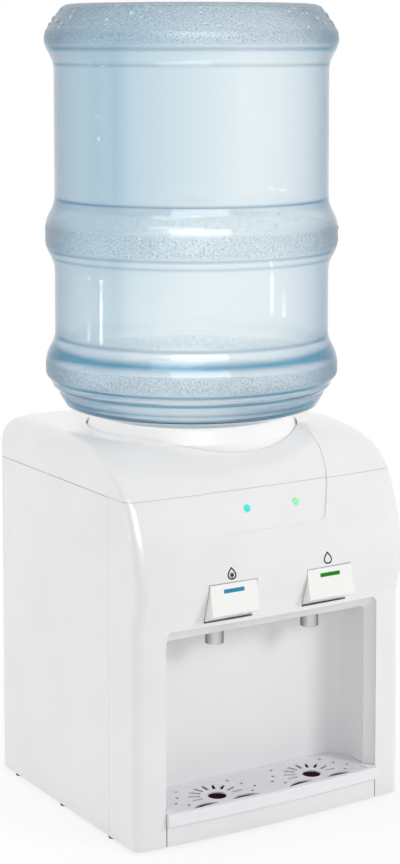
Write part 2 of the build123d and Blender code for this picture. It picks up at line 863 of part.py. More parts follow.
# Indicator lamps on their board
led_board = block(
    -lamp_board_width / 2, lamp_board_width / 2, lamp_board_y, lamp_board_y + board_thick,
    lamp_height - lamp_board_height / 2, lamp_height + lamp_board_height / 2,
)
nodes["led_board"] = led_board
for side, name in ((-1, "cold_led"), (1, "power_led")):
    x = side * lamp_spread
    tip_y = front_at(lamp_height, x) + panel_depth - lamp_proud
    lamp = rod_y(x, lamp_height, tip_y + lamp_proud, lamp_board_y, lamp_radius)
    dome = Pos(x, tip_y + lamp_proud + lamp_radius, lamp_height) * Sphere(lamp_radius * 1.25)
    dome = dome & rod_y(x, lamp_height, tip_y, tip_y + lamp_radius, lamp_radius)
    nodes[name] = lamp + dome

# Bottle seat: outer skirt, rolled rim, funnel and the well round the bottle's neck
skirt_foot = ledge_height
collar_bend = ledge_height + collar_straight
rim_out = collar_rim_radius + seat_wall / 2
rim_in = collar_rim_radius - seat_wall / 2
funnel_top = collar_top - funnel_drop
throat_lip = well_radius + seat_wall
seat = turned(
    [
        (collar_radius, skirt_foot), (collar_radius, collar_bend), (rim_out + 1.2, collar_top - 1.8),
        (rim_out, collar_top - 0.4), (collar_rim_radius, collar_top), (rim_in, collar_top - 1.2),
        (rim_in - seat_wall, funnel_top), (well_radius + seat_wall, well_top),
        (well_radius, well_top - 2 * seat_wall), (well_radius, well_floor + seat_wall),
        (probe_radius + hose_clear, well_floor + seat_wall), (probe_radius + hose_clear, well_floor),
        (throat_lip, well_floor), (throat_lip, well_top - 3 * seat_wall),
        (throat_lip + seat_wall, well_top - seat_wall), (rim_in - 0.4 * seat_wall, funnel_top - seat_wall),
        (rim_in, collar_top - 2 * seat_wall), (collar_radius - seat_wall, collar_bend - seat_wall / 2),
        (collar_radius - seat_wall, skirt_foot),
    ],
    0, axis_y,
)
nodes["bottle_seat"] = seat

probe = post(0, axis_y, probe_tail, probe_tip - probe_radius, probe_radius)
probe += Pos(0, axis_y, probe_tip - probe_radius) * Sphere(probe_radius)
probe += post(
    0, axis_y, well_floor + seat_wall, well_floor + seat_wall + probe_wall, probe_flange_radius
)
bore = probe_radius - probe_wall
probe -= post(0, axis_y, probe_tail - 1, probe_tip - probe_radius - probe_wall, bore)
window_z = probe_tip - 2 * probe_radius - probe_window
probe -= block(
    -probe_window / 2, probe_window / 2, axis_y - 2 * probe_radius, axis_y + 2 * probe_radius,
    window_z - probe_window, window_z + probe_window,
)
probe -= block(
    -2 * probe_radius, 2 * probe_radius, axis_y - probe_window / 2, axis_y + probe_window / 2,
    window_z - probe_window, window_z + probe_window,
)
nodes["feed_probe"] = probe

# Bottle, standing on its head, as one blown shell
mouth_z = bottle_top - bottle_height
base_band_top = bottle_top - base_bevel
base_band_foot = base_band_top - base_band
shoulder_foot = shoulder_band_top - shoulder_band
middle_top = middle_band_mid + middle_band / 2
middle_foot = middle_band_mid - middle_band / 2
step_drop = (shoulder_foot - dome_edge_height) / (shoulder_step_count + 0.5)
step_in = (bottle_radius - dome_edge_radius) / shoulder_step_count


def bottle_form(inset):
    top = bottle_top - inset
    band = bottle_radius - inset
    waist = waist_radius - inset
    edge = (dome_edge_radius - inset, dome_edge_height + inset / 2)
    neck = neck_radius - inset
    points = [
        (0, top - base_dimple), (base_dimple_radius - base_dimple, top - base_dimple),
        (base_dimple_radius, top), (base_flat_radius - inset / 2, top),
        (band, base_band_top - inset / 2), (band, base_band_foot),
        (waist, base_band_foot - band_slope), (waist, middle_top + band_slope),
        (band, middle_top), (band, middle_foot),
        (waist, middle_foot - band_slope), (waist, shoulder_band_top + band_slope),
        (band, shoulder_band_top), (band, shoulder_foot),
    ]
    for step in range(shoulder_step_count - 1):
        points.append((band - (step + 0.8) * step_in, shoulder_foot - (step + 0.7) * step_drop))
        points.append((band - (step + 1) * step_in, shoulder_foot - (step + 1.2) * step_drop))
    points.append(edge)
    line = Polyline([(r, 0, z) for r, z in points])
    dome = Spline(
        (edge[0], 0, edge[1]), (dome_mid_radius - inset / 2, 0, dome_mid_height + inset),
        (neck, 0, neck_root_height),
        tangents=[(-1, 0, -0.27), (-0.2, 0, -1)],
    )
    end = mouth_z - (1 if inset else 0)
    neck_line = Polyline(
        (neck, 0, neck_root_height), (neck, 0, end), (0, 0, end), (0, 0, top - base_dimple)
    )
    face = make_face([*line.edges(), dome, *neck_line.edges()])
    bands = [v for v in face.vertices() if v.Z > shoulder_foot - 1 and v.X > base_flat_radius - 2 * inset - 1]
    face = fillet(bands, band_fillet)
    return revolve(face, Axis.Z)


nodes["bottle"] = Pos(0, axis_y, 0) * (bottle_form(0.0) - bottle_form(bottle_wall))

# Bottle cap, with the sleeve that the probe pushes into
cap_in = neck_radius + hose_clear
sleeve_in = probe_radius + 2 * contact_gap
cap_foot = mouth_z - cap_wall
cap = turned(
    [
        (sleeve_in, cap_foot), (cap_in + cap_wall, cap_foot), (cap_in + cap_wall, cap_foot + cap_height),
        (cap_in, cap_foot + cap_height), (cap_in, mouth_z), (sleeve_in + cap_wall / 2, mouth_z),
        (sleeve_in + cap_wall / 2, mouth_z + cap_sleeve_length), (sleeve_in, mouth_z + cap_sleeve_length),
    ],
    0, axis_y,
)
nodes["bottle_cap"] = cap

# Reservoir under the seat, its lid, gasket, baffle, foam jacket and stand
tank_y = column_y + tank_back
tank_low = tank_floor
tank_front = tank_y - tank_half_depth
tank_rear = tank_y + tank_half_depth


def tank_block(grow, z0, z1):
    return rounded_plan(
        -tank_half_width - grow, tank_half_width + grow, tank_front - grow, tank_rear + grow,
        tank_corner + grow, z0, z1,
    )


port_y = tank_y - port_forward
tank = tank_block(0, tank_low, tank_rim)
tank += rod_x(port_y, cold_port_height, -tank_half_width + 1, -tank_half_width - port_reach, barb_radius)
tank += rod_x(port_y, room_port_height, tank_half_width - 1, tank_half_width + port_reach, barb_radius)
tank += post(0, tank_y, tank_low - port_reach, tank_low + 1, barb_radius)
tank -= tank_block(-tank_wall - baffle_ledge, tank_low + tank_wall, baffle_height)
tank -= tank_block(-tank_wall, baffle_height, tank_rim + 1)
tank -= rod_x(port_y, cold_port_height, 0, -2 * tank_half_width, barb_bore)
tank -= rod_x(port_y, room_port_height, 0, 2 * tank_half_width, barb_bore)
tank -= post(0, tank_y, 0, tank_low + 2 * tank_wall, barb_bore)
nodes["tank_shell"] = tank

baffle = tank_block(-tank_wall - fit_gap, baffle_height, baffle_height + baffle_thick)
for side in (-1, 1):
    baffle -= post(side * tank_half_width / 2, tank_y, 0, body_top, 2 * barb_radius)
nodes["tank_baffle"] = baffle

gasket_in = probe_radius + fit_gap
gasket_out = gasket_in + gasket_width
lid = tank_block(foam / 2, tank_rim, tank_rim + lid_thick)
lid += tank_block(-tank_wall - fit_gap, tank_rim - lid_skirt, tank_rim)
lid -= tank_block(-2 * tank_wall - fit_gap, tank_rim - lid_skirt - 1, tank_rim)
lid -= post(0, axis_y, tank_low, body_top, gasket_out)
nodes["tank_lid"] = lid
gasket = turned(
    [
        (gasket_in, tank_rim), (gasket_out, tank_rim), (gasket_out, tank_rim + lid_thick),
        (gasket_out + gasket_width, tank_rim + lid_thick),
        (gasket_out + gasket_width, tank_rim + lid_thick + gasket_thick),
        (gasket_in, tank_rim + lid_thick + gasket_thick),
    ],
    0, axis_y,
)
nodes["lid_gasket"] = gasket

jacket = tank_block(foam, tank_low - foam, tank_rim) - tank_block(fit_gap, tank_low, tank_rim + 1)
jacket -= rod_x(port_y, cold_port_height, 0, -2 * tank_half_width, barb_radius + fit_gap)
jacket -= rod_x(port_y, room_port_height, 0, 2 * tank_half_width, barb_radius + fit_gap)
jacket -= post(0, tank_y, 0, tank_low, barb_radius + fit_gap)
jacket -= block(
    -block_half - fit_gap, block_half + fit_gap, tank_y, tank_rear + 2 * foam,
    block_height - block_half - fit_gap, block_height + block_half + fit_gap,
)
nodes["tank_insulation"] = jacket

stand_top = tank_low - foam
stand = tank_block(foam, stand_top - stand_plate, stand_top)
stand -= tank_block(-stand_leg, stand_top - stand_plate - 1, stand_top + 1)
for dx in (-1, 1):
    for dy in (-1, 1):
        leg_x = dx * (tank_half_width - stand_leg / 2)
        leg_y = tank_y + dy * (tank_half_depth - stand_leg / 2)
        stand += block(
            leg_x - stand_leg / 2, leg_x + stand_leg / 2, leg_y - stand_leg / 2, leg_y + stand_leg / 2,
            pan_top, stand_top,
        )
nodes["tank_stand"] = stand

# Cold block, thermoelectric module, finned heat sink and fan, back from the tank
block_end = tank_rear + foam + block_stand
nodes["cold_block"] = block(
    -block_half, block_half, tank_rear, block_end, block_height - block_half, block_height + block_half
)
cooler_end = block_end + cooler_thick
nodes["peltier_module"] = block(
    -cooler_half, cooler_half, block_end, cooler_end, block_height - cooler_half, block_height + cooler_half
)
base_end = cooler_end + sink_base
fin_end = base_end + fin_height
sink = block(
    -sink_half, sink_half, cooler_end, base_end, block_height - sink_half, block_height + sink_half
)
fin_pitch = (2 * sink_half - fin_thick) / (fin_count - 1)
for fin in range(fin_count):
    x = -sink_half + fin * fin_pitch
    sink += block(
        x, x + fin_thick, base_end, fin_end, block_height - sink_half, block_height + sink_half
    )
nodes["heat_sink"] = sink

fan_y = fin_end
fan_end = fan_y + fan_depth
casing = block(-fan_half, fan_half, fan_y, fan_end, block_height - fan_half, block_height + fan_half)
casing -= rod_y(0, block_height, fan_y - 1, fan_end + 1, fan_bore_radius)
hub_y = fan_end - fan_plate
casing += rod_y(0, block_height, hub_y, fan_end, fan_hub_radius)
for turn in (45, 135):
    bar = Pos(0, (hub_y + fan_end) / 2, block_height) * Rot(0, turn, 0)
    strut = bar * Box(2 * fan_bore_radius + fan_plate, fan_plate, 2 * fan_plate)
    casing += strut
casing -= rod_y(0, block_height, fan_y - 1, fan_end + 1, fan_shaft_radius + pin_clear)
nodes["fan_frame"] = casing

rotor_end = hub_y - fit_gap
rotor_start = fan_y + fit_gap + fan_seat
rotor = rod_y(0, block_height, rotor_start, rotor_end, fan_hub_radius)
blade_mid = (rotor_start + rotor_end) / 2
blade_chord = (rotor_end - rotor_start - 2 * fit_gap) / sin_d(fan_pitch)
for index in range(fan_blades):
    turn = 360 * index / fan_blades
    place = Pos(0, blade_mid, block_height) * Rot(0, turn, 0) * Pos((fan_hub_radius + fan_blade_radius) / 2 - 1, 0, 0)
    blade = place * Rot(fan_pitch, 0, 0) * Box(
        fan_blade_radius - fan_hub_radius + 2, board_thick, blade_chord - 2 * board_thick
    )
    rotor += blade
rotor = rotor & rod_y(0, block_height, rotor_start, rotor_end, fan_blade_radius)
rotor += rod_y(0, block_height, rotor_end, fan_end - fit_gap, fan_shaft_radius)
nodes["fan_rotor"] = rotor

# Hoses from the tank to the valves and to the drain


def hose(points, name):
    line = FilletPolyline(*points, radius=hose_bend)
    start = Plane(origin=line @ 0, z_dir=line % 0)
    ring = Circle(barb_radius + hose_clear + hose_wall) - Circle(barb_radius + hose_clear)
    nodes[name] = sweep(start * ring, path=line)


inlet_x = tap_spread + valve_radius + barb_length / 4
port_x = tank_half_width + foam + 2 * hose_clear
for side, name, z in ((-1, "cold_hose", cold_port_height), (1, "room_hose", room_port_height)):
    hose(
        [
            (side * port_x, port_y, z), (side * hose_out, port_y, z),
            (side * hose_out, port_y, valve_height), (side * hose_out, inlet_y, valve_height),
            (side * inlet_x, inlet_y, valve_height),
        ],
        name,
    )
fitting_in = rear_y - wall - gland_flange
drain_top = tank_low - foam - stand_plate - 2 * hose_clear
hose(
    [(0, tank_y, drain_top), (0, tank_y, drain_height), (0, fitting_in - hose_clear, drain_height)],
    "drain_hose",
)

# Drain spigot through the back panel, with a pull-off cap
spigot = rod_y(0, drain_height, fitting_in, rear_y - wall, drain_flange_radius)
spigot += rod_y(0, drain_height, rear_y - wall, rear_y + drain_out, drain_radius)
spigot += rod_y(0, drain_height, fitting_in - barb_length, fitting_in, barb_radius)
spigot -= rod_y(0, drain_height, fitting_in - 2 * barb_length, rear_y + 2 * drain_out, barb_bore)
spigot -= rod_y(0, drain_height, rear_y - wall, rear_y + 2 * drain_out, drain_bore)
nodes["drain_fitting"] = spigot
drain_cap = rod_y(
    0, drain_height, rear_y + fit_gap, rear_y + drain_out + drain_cap_wall + fit_gap,
    drain_radius + drain_clear + drain_cap_wall,
)
drain_cap -= rod_y(
    0, drain_height, rear_y, rear_y + drain_out + fit_gap, drain_radius + drain_clear
)
nodes["drain_cap"] = drain_cap

# Power board, cord gland and rocker switch
nodes["power_board"] = block(
    supply_x - supply_half_width, supply_x + supply_half_width, supply_y - supply_half_depth,
    supply_y + supply_half_depth, supply_height, supply_height + board_thick,
)
board_top = supply_height + board_thick
wide = supply_half_width
deep = supply_half_depth
parts = block(
    supply_x - 0.73 * wide, supply_x + 0.73 * wide, supply_y - 0.24 * deep, supply_y + 0.28 * deep,
    board_top, board_top + 0.87 * part_height,
)
parts += post(supply_x - 0.36 * wide, supply_y - 0.55 * deep, board_top, board_top + 0.8 * part_height, 0.41 * wide)
parts += post(supply_x + 0.45 * wide, supply_y - 0.83 * deep, board_top, board_top + 0.6 * part_height, 0.27 * wide)
parts += block(
    supply_x + 0.36 * wide, supply_x + 0.5 * wide, supply_y + 0.38 * deep, supply_y + 0.83 * deep,
    board_top, board_top + part_height,
)
parts += block(
    supply_x - 0.82 * wide, supply_x - 0.36 * wide, supply_y + 0.52 * deep, supply_y + 0.9 * deep,
    board_top, board_top + 0.37 * part_height,
)
nodes["board_parts"] = parts

gland = rod_y(gland_x, gland_height, rear_y, rear_y + gland_flange, gland_radius + gland_flange)
gland += rod_y(gland_x, gland_height, fitting_in, rear_y, gland_radius - hose_clear)
gland += rod_y(gland_x, gland_height, rear_y, rear_y + gland_out, gland_radius - gland_flange)
gland -= rod_y(gland_x, gland_height, fitting_in - 1, rear_y + 2 * gland_out, gland_bore)
nodes["cord_gland"] = gland

bezel = block(
    switch_x - switch_half_width - switch_frame, switch_x + switch_half_width + switch_frame,
    rear_y, rear_y + switch_frame,
    switch_height - switch_half_height - switch_frame, switch_height + switch_half_height + switch_frame,
)
bezel += block(
    switch_x - switch_half_width + hose_clear, switch_x + switch_half_width - hose_clear,
    rear_y - switch_depth, rear_y,
    switch_height - switch_half_height + hose_clear, switch_height + switch_half_height - hose_clear,
)
well_x = switch_half_width - switch_frame
well_z = switch_half_height - switch_frame
bezel -= block(
    switch_x - well_x, switch_x + well_x, rear_y - switch_depth + switch_frame, rear_y + 2 * switch_frame,
    switch_height - well_z, switch_height + well_z,
)
pivot_y = rear_y - switch_frame
bezel -= rod_x(
    pivot_y, switch_height, switch_x - switch_half_width, switch_x + switch_half_width,
    pin_radius + pin_clear,
)
nodes["switch_bezel"] = bezel
rocker_half = well_z - 2 * rocker_clear
rocker_depth = switch_frame + rocker_half * sin_d(rocker_angle)
rocker = side_cut(
    [
        (pivot_y - switch_frame, switch_height - rocker_half), (pivot_y + rocker_depth, switch_height - rocker_half),
        (pivot_y + switch_frame, switch_height), (pivot_y + rocker_depth, switch_height + rocker_half),
        (pivot_y - switch_frame, switch_height + rocker_half),
    ],
    switch_x - well_x + rocker_clear, switch_x + well_x - rocker_clear,
)
rocker += rod_x(
    pivot_y, switch_height, switch_x - switch_half_width + 2 * rocker_clear,
    switch_x + switch_half_width - 2 * rocker_clear, pin_radius,
)
rock = Pos(0, pivot_y, switch_height) * Rot(-rocker_angle, 0, 0) * Pos(0, -pivot_y, -switch_height)
nodes["switch_rocker"] = rock * rocker

for name, shape in nodes.items():
    export_step(shape, "parts/" + name + ".step")
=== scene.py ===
import bmesh
import bpy
import json
import math
import numpy as np
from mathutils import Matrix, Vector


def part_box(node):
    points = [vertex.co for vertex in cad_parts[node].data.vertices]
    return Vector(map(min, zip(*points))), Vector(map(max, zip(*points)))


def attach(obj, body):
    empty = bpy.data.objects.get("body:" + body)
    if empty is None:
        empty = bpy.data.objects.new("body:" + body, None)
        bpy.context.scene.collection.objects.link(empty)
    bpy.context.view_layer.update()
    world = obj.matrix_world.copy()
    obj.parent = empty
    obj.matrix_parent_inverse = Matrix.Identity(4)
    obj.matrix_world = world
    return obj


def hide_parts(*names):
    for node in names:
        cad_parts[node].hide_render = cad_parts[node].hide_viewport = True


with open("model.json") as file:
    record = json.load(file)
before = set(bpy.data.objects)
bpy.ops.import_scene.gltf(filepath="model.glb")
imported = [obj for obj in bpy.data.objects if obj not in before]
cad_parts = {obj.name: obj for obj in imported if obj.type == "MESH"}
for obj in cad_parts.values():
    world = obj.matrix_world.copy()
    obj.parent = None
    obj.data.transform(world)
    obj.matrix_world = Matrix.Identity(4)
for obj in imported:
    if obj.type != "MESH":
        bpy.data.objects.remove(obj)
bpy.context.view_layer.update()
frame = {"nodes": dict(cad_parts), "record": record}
scene = bpy.context.scene
nodes = frame["nodes"]
MM = 0.001

# The bottle's upright axis, its top and its mouth (mm), from the solid itself
bottle_low, bottle_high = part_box("bottle")
AXIS_Y = (bottle_low.y + bottle_high.y) / 2 / MM
TOP = bottle_high.z / MM
MOUTH = bottle_low.z / MM

# A colour mix's sockets: its two colours and its result
MIX_A, MIX_B, MIX_RESULT = 6, 7, 2
# Most values of a noise texture lie between these two.
NOISE_LOW, NOISE_HIGH = 0.3, 0.7


def linear(code):
    """Colour of an sRGB hex value in linear light, by the standard's two-part curve."""
    parts = np.array([int(code[i:i + 2], 16) for i in (1, 3, 5)]) / 255.0
    parts = np.where(parts <= 0.04045, parts / 12.92, ((parts + 0.055) / 1.055) ** 2.4)
    return (*parts.tolist(), 1.0)


def add(tree, kind, links=None, **settings):
    """Adds one node; settings are its properties, links give a socket its value or its source."""
    node = tree.nodes.new(kind)
    for name, value in settings.items():
        setattr(node, name, value)
    for socket, value in (links or {}).items():
        if isinstance(value, bpy.types.NodeSocket):
            tree.links.new(value, node.inputs[socket])
        else:
            node.inputs[socket].default_value = value
    return node


def blank(name):
    """An empty node material and its node tree."""
    material = bpy.data.materials.new(name)
    material.use_nodes = True
    material.node_tree.nodes.clear()
    return material, material.node_tree


# Moulded plastic: width of the clouds in its colour and of its flow marks, and depth of its peel (mm)
CLOUD, FLOW, PEEL_DEPTH = 60, 18, 0.2


def moulded(name, low, high, rough, peel_mm, peel, spread=0.04, ior=1.53, coat=0.0):
    """Injection-moulded thermoplastic: faint cloudiness in the colour, an even gloss broken by
    flow marks, and a fine orange peel whose waves are peel_mm long."""
    material, tree = blank(name)
    place = add(tree, "ShaderNodeTexCoord").outputs["Object"]
    cloud = add(tree, "ShaderNodeTexNoise", {"Vector": place, "Scale": 1 / (CLOUD * MM), "Detail": 3.0})
    flow = add(tree, "ShaderNodeTexNoise", {"Vector": place, "Scale": 1 / (FLOW * MM), "Detail": 4.0})
    grain = add(tree, "ShaderNodeTexNoise", {"Vector": place, "Scale": 1 / (peel_mm * MM), "Detail": 2.0})
    clouded = add(tree, "ShaderNodeMapRange", {
        "Value": cloud.outputs["Fac"], "From Min": NOISE_LOW, "From Max": NOISE_HIGH,
    })
    colour = add(tree, "ShaderNodeMix", {
        0: clouded.outputs["Result"], MIX_A: linear(low), MIX_B: linear(high),
    }, data_type="RGBA")
    gloss = add(tree, "ShaderNodeMapRange", {
        "Value": flow.outputs["Fac"], "From Min": NOISE_LOW, "From Max": NOISE_HIGH,
        "To Min": rough - spread, "To Max": rough + spread,
    })
    bump = add(tree, "ShaderNodeBump", {
        "Height": grain.outputs["Fac"], "Strength": peel, "Distance": PEEL_DEPTH * MM,
    })
    shader = add(tree, "ShaderNodeBsdfPrincipled", {
        "Base Color": colour.outputs[MIX_RESULT], "Roughness": gloss.outputs["Result"],
        "Normal": bump.outputs["Normal"], "IOR": ior, "Coat Weight": coat, "Coat Roughness": 0.06,
    })
    add(tree, "ShaderNodeOutputMaterial", {"Surface": shader.outputs["BSDF"]})
    return material


def lamp_lens(name, code, glow, fleck_mm=1.5):
    """Lit acrylic lens: coloured and glossy, with a light of its own that varies in fine flecks."""
    material, tree = blank(name)
    place = add(tree, "ShaderNodeTexCoord").outputs["Object"]
    fleck = add(tree, "ShaderNodeTexNoise", {"Vector": place, "Scale": 1 / (fleck_mm * MM), "Detail": 1.0})
    light = add(tree, "ShaderNodeMix", {
        0: fleck.outputs["Fac"], MIX_A: linear(code), MIX_B: linear(glow),
    }, data_type="RGBA")
    shader = add(tree, "ShaderNodeBsdfPrincipled", {
        "Base Color": linear(code), "Roughness": 0.15, "IOR": 1.49,
        "Emission Color": light.outputs[MIX_RESULT], "Emission Strength": 0.35,
    })
    add(tree, "ShaderNodeOutputMaterial", {"Surface": shader.outputs["BSDF"]})
    return material


def metal(name, low, high, rough, grain_mm, stretch, spread=0.08, depth_mm=0.1):
    """Bare metal with fine rolling or drawing lines: the grain is stretched along one way."""
    material, tree = blank(name)
    place = add(tree, "ShaderNodeTexCoord").outputs["Object"]
    turned = add(tree, "ShaderNodeMapping", {"Vector": place, "Scale": stretch})
    grain = add(tree, "ShaderNodeTexNoise", {
        "Vector": turned.outputs["Vector"], "Scale": 1 / (grain_mm * MM), "Detail": 3.0,
    }).outputs["Fac"]
    colour = add(tree, "ShaderNodeMix", {
        0: grain, MIX_A: linear(low), MIX_B: linear(high),
    }, data_type="RGBA")
    gloss = add(tree, "ShaderNodeMapRange", {
        "Value": grain, "To Min": rough - spread, "To Max": rough + spread,
    })
    bump = add(tree, "ShaderNodeBump", {"Height": grain, "Strength": 0.15, "Distance": depth_mm * MM})
    shader = add(tree, "ShaderNodeBsdfPrincipled", {
        "Base Color": colour.outputs[MIX_RESULT], "Metallic": 1.0,
        "Roughness": gloss.outputs["Result"], "Normal": bump.outputs["Normal"],
    })
    add(tree, "ShaderNodeOutputMaterial", {"Surface": shader.outputs["BSDF"]})
    return material


def beaded(name, low, high, bead_mm, depth_mm):
    """Expanded foam or sintered grain: rounded cells bead_mm across, pale on their crowns and
    darker in the joints."""
    material, tree = blank(name)
    place = add(tree, "ShaderNodeTexCoord").outputs["Object"]
    cell = add(tree, "ShaderNodeTexVoronoi", {
        "Vector": place, "Scale": 1 / (bead_mm * MM),
    }).outputs["Distance"]
    colour = add(tree, "ShaderNodeMix", {
        0: cell, MIX_A: linear(high), MIX_B: linear(low),
    }, data_type="RGBA")
    bump = add(tree, "ShaderNodeBump", {"Height": cell, "Strength": 0.6, "Distance": depth_mm * MM})
    shader = add(tree, "ShaderNodeBsdfPrincipled", {
        "Base Color": colour.outputs[MIX_RESULT], "Roughness": 0.75, "Normal": bump.outputs["Normal"],
    })
    add(tree, "ShaderNodeOutputMaterial", {"Surface": shader.outputs["BSDF"]})
    return material


# Polycarbonate: width of its pebbles and of the slow ripple in its wall (mm). The real pebbles are
# about 0.6 mm; they are drawn at 1.5 mm so that they show in the picture.
PEBBLE, RIPPLE = 1.5, 45
# A pebble's mean value, and how much pebbles, edges and ripple weigh against the corners' mask
PEBBLE_MEAN, PEBBLE_TINT = 0.42, 0.75
EDGE_POWER, EDGE_TINT = 2.2, 1.15
RIPPLE_HEIGHT = 0.6


def polycarbonate():
    """Blown tinted polycarbonate: clear waists and finely pebbled bands, with painted shade: deeper blue
    in the corners between a band and a waist, where refraction darkens the wall, and over the whole dome.
    Both masks are painted on the mesh, and the painted shade works on the outer skin alone, where light
    enters the wall."""
    material, tree = blank("polycarbonate_pale_blue")
    place = add(tree, "ShaderNodeTexCoord").outputs["Object"]
    pebbled = add(tree, "ShaderNodeAttribute", attribute_name="pebble").outputs["Fac"]
    # Painted shade read from the mesh, kept to the faces seen from outside so that only the near corners
    # darken.
    corner = add(tree, "ShaderNodeAttribute", attribute_name="painted_shade").outputs["Fac"]
    leaving = add(tree, "ShaderNodeNewGeometry").outputs["Backfacing"]
    entering = add(tree, "ShaderNodeMath", {0: 1.0, 1: leaving}, operation="SUBTRACT").outputs[0]
    corner = add(tree, "ShaderNodeMath", {0: corner, 1: entering}, operation="MULTIPLY").outputs[0]
    grain = add(tree, "ShaderNodeTexVoronoi", {
        "Vector": place, "Scale": 1 / (PEBBLE * MM),
    }).outputs["Distance"]
    speck = add(tree, "ShaderNodeMath", {0: grain, 1: PEBBLE_MEAN}, operation="SUBTRACT").outputs[0]
    speck = add(tree, "ShaderNodeMath", {0: speck, 1: pebbled}, operation="MULTIPLY").outputs[0]
    tint_and_shade = add(tree, "ShaderNodeMath", {
        0: speck, 1: PEBBLE_TINT, 2: corner,
    }, operation="MULTIPLY_ADD").outputs[0]
    # Seen edge on, the wall is looked through at length, so its tint gathers there.
    edge_on = add(tree, "ShaderNodeLayerWeight", {"Blend": 0.5}).outputs["Facing"]
    edge_on = add(tree, "ShaderNodeMath", {0: edge_on, 1: EDGE_POWER}, operation="POWER").outputs[0]
    tint_and_shade = add(tree, "ShaderNodeMath", {
        0: edge_on, 1: EDGE_TINT, 2: tint_and_shade,
    }, operation="MULTIPLY_ADD").outputs[0]
    colour = add(tree, "ShaderNodeMix", {
        0: tint_and_shade, MIX_A: linear("#F2F8FA"), MIX_B: linear("#2A749C"),
    }, data_type="RGBA")
    gloss = add(tree, "ShaderNodeMapRange", {"Value": pebbled, "To Min": 0.07, "To Max": 0.22})
    ripple = add(tree, "ShaderNodeTexNoise", {"Vector": place, "Scale": 1 / (RIPPLE * MM), "Detail": 1.0})
    height = add(tree, "ShaderNodeMath", {0: grain, 1: pebbled}, operation="MULTIPLY").outputs[0]
    height = add(tree, "ShaderNodeMath", {
        0: ripple.outputs["Fac"], 1: RIPPLE_HEIGHT, 2: height,
    }, operation="MULTIPLY_ADD").outputs[0]
    bump = add(tree, "ShaderNodeBump", {"Height": height, "Strength": 0.45, "Distance": 0.35 * MM})
    shader = add(tree, "ShaderNodeBsdfPrincipled", {
        "Base Color": colour.outputs[MIX_RESULT], "Roughness": gloss.outputs["Result"],
        "Transmission Weight": 1.0, "IOR": 1.36, "Normal": bump.outputs["Normal"],
    })
    add(tree, "ShaderNodeOutputMaterial", {"Surface": shader.outputs["BSDF"]})
    return material


def clear_water(swell_mm=3):
    """Condensed water: colourless, perfectly smooth beads with a slow swell so that none is flat."""
    material, tree = blank("water_beads")
    place = add(tree, "ShaderNodeTexCoord").outputs["Object"]
    swell = add(tree, "ShaderNodeTexNoise", {"Vector": place, "Scale": 1 / (swell_mm * MM), "Detail": 0.0})
    gloss = add(tree, "ShaderNodeMapRange", {"Value": swell.outputs["Fac"], "To Min": 0.0, "To Max": 0.05})
    shader = add(tree, "ShaderNodeBsdfPrincipled", {
        "Base Color": linear("#F4FAFD"), "Roughness": gloss.outputs["Result"],
        "Transmission Weight": 1.0, "IOR": 1.33,
    })
    add(tree, "ShaderNodeOutputMaterial", {"Surface": shader.outputs["BSDF"]})
    return material


def smoky_and_shaded_polypropylene(haze_mm=4):
    """Clarified polypropylene of the spouts: partly see-through and smoky, darker towards its edges, which
    also paints the shade at the rounded sides.
    """
    material, tree = blank("polypropylene_smoky_and_shaded")
    place = add(tree, "ShaderNodeTexCoord").outputs["Object"]
    haze = add(tree, "ShaderNodeTexNoise", {"Vector": place, "Scale": 1 / (haze_mm * MM), "Detail": 2.0})
    # Painted shade: the colour darkens towards the edges, standing in for the shade at the spout's sides as
    # well as its smoke.
    edge_on = add(tree, "ShaderNodeLayerWeight", {"Blend": 0.75}).outputs["Facing"]
    colour = add(tree, "ShaderNodeMix", {
        0: edge_on, MIX_A: linear("#F8F8F8"), MIX_B: linear("#3E4143"),
    }, data_type="RGBA")
    gloss = add(tree, "ShaderNodeMapRange", {"Value": haze.outputs["Fac"], "To Min": 0.05, "To Max": 0.14})
    shader = add(tree, "ShaderNodeBsdfPrincipled", {
        "Base Color": colour.outputs[MIX_RESULT], "Roughness": gloss.outputs["Result"],
        "Transmission Weight": 0.25, "IOR": 1.49,
    })
    add(tree, "ShaderNodeOutputMaterial", {"Surface": shader.outputs["BSDF"]})
    return material


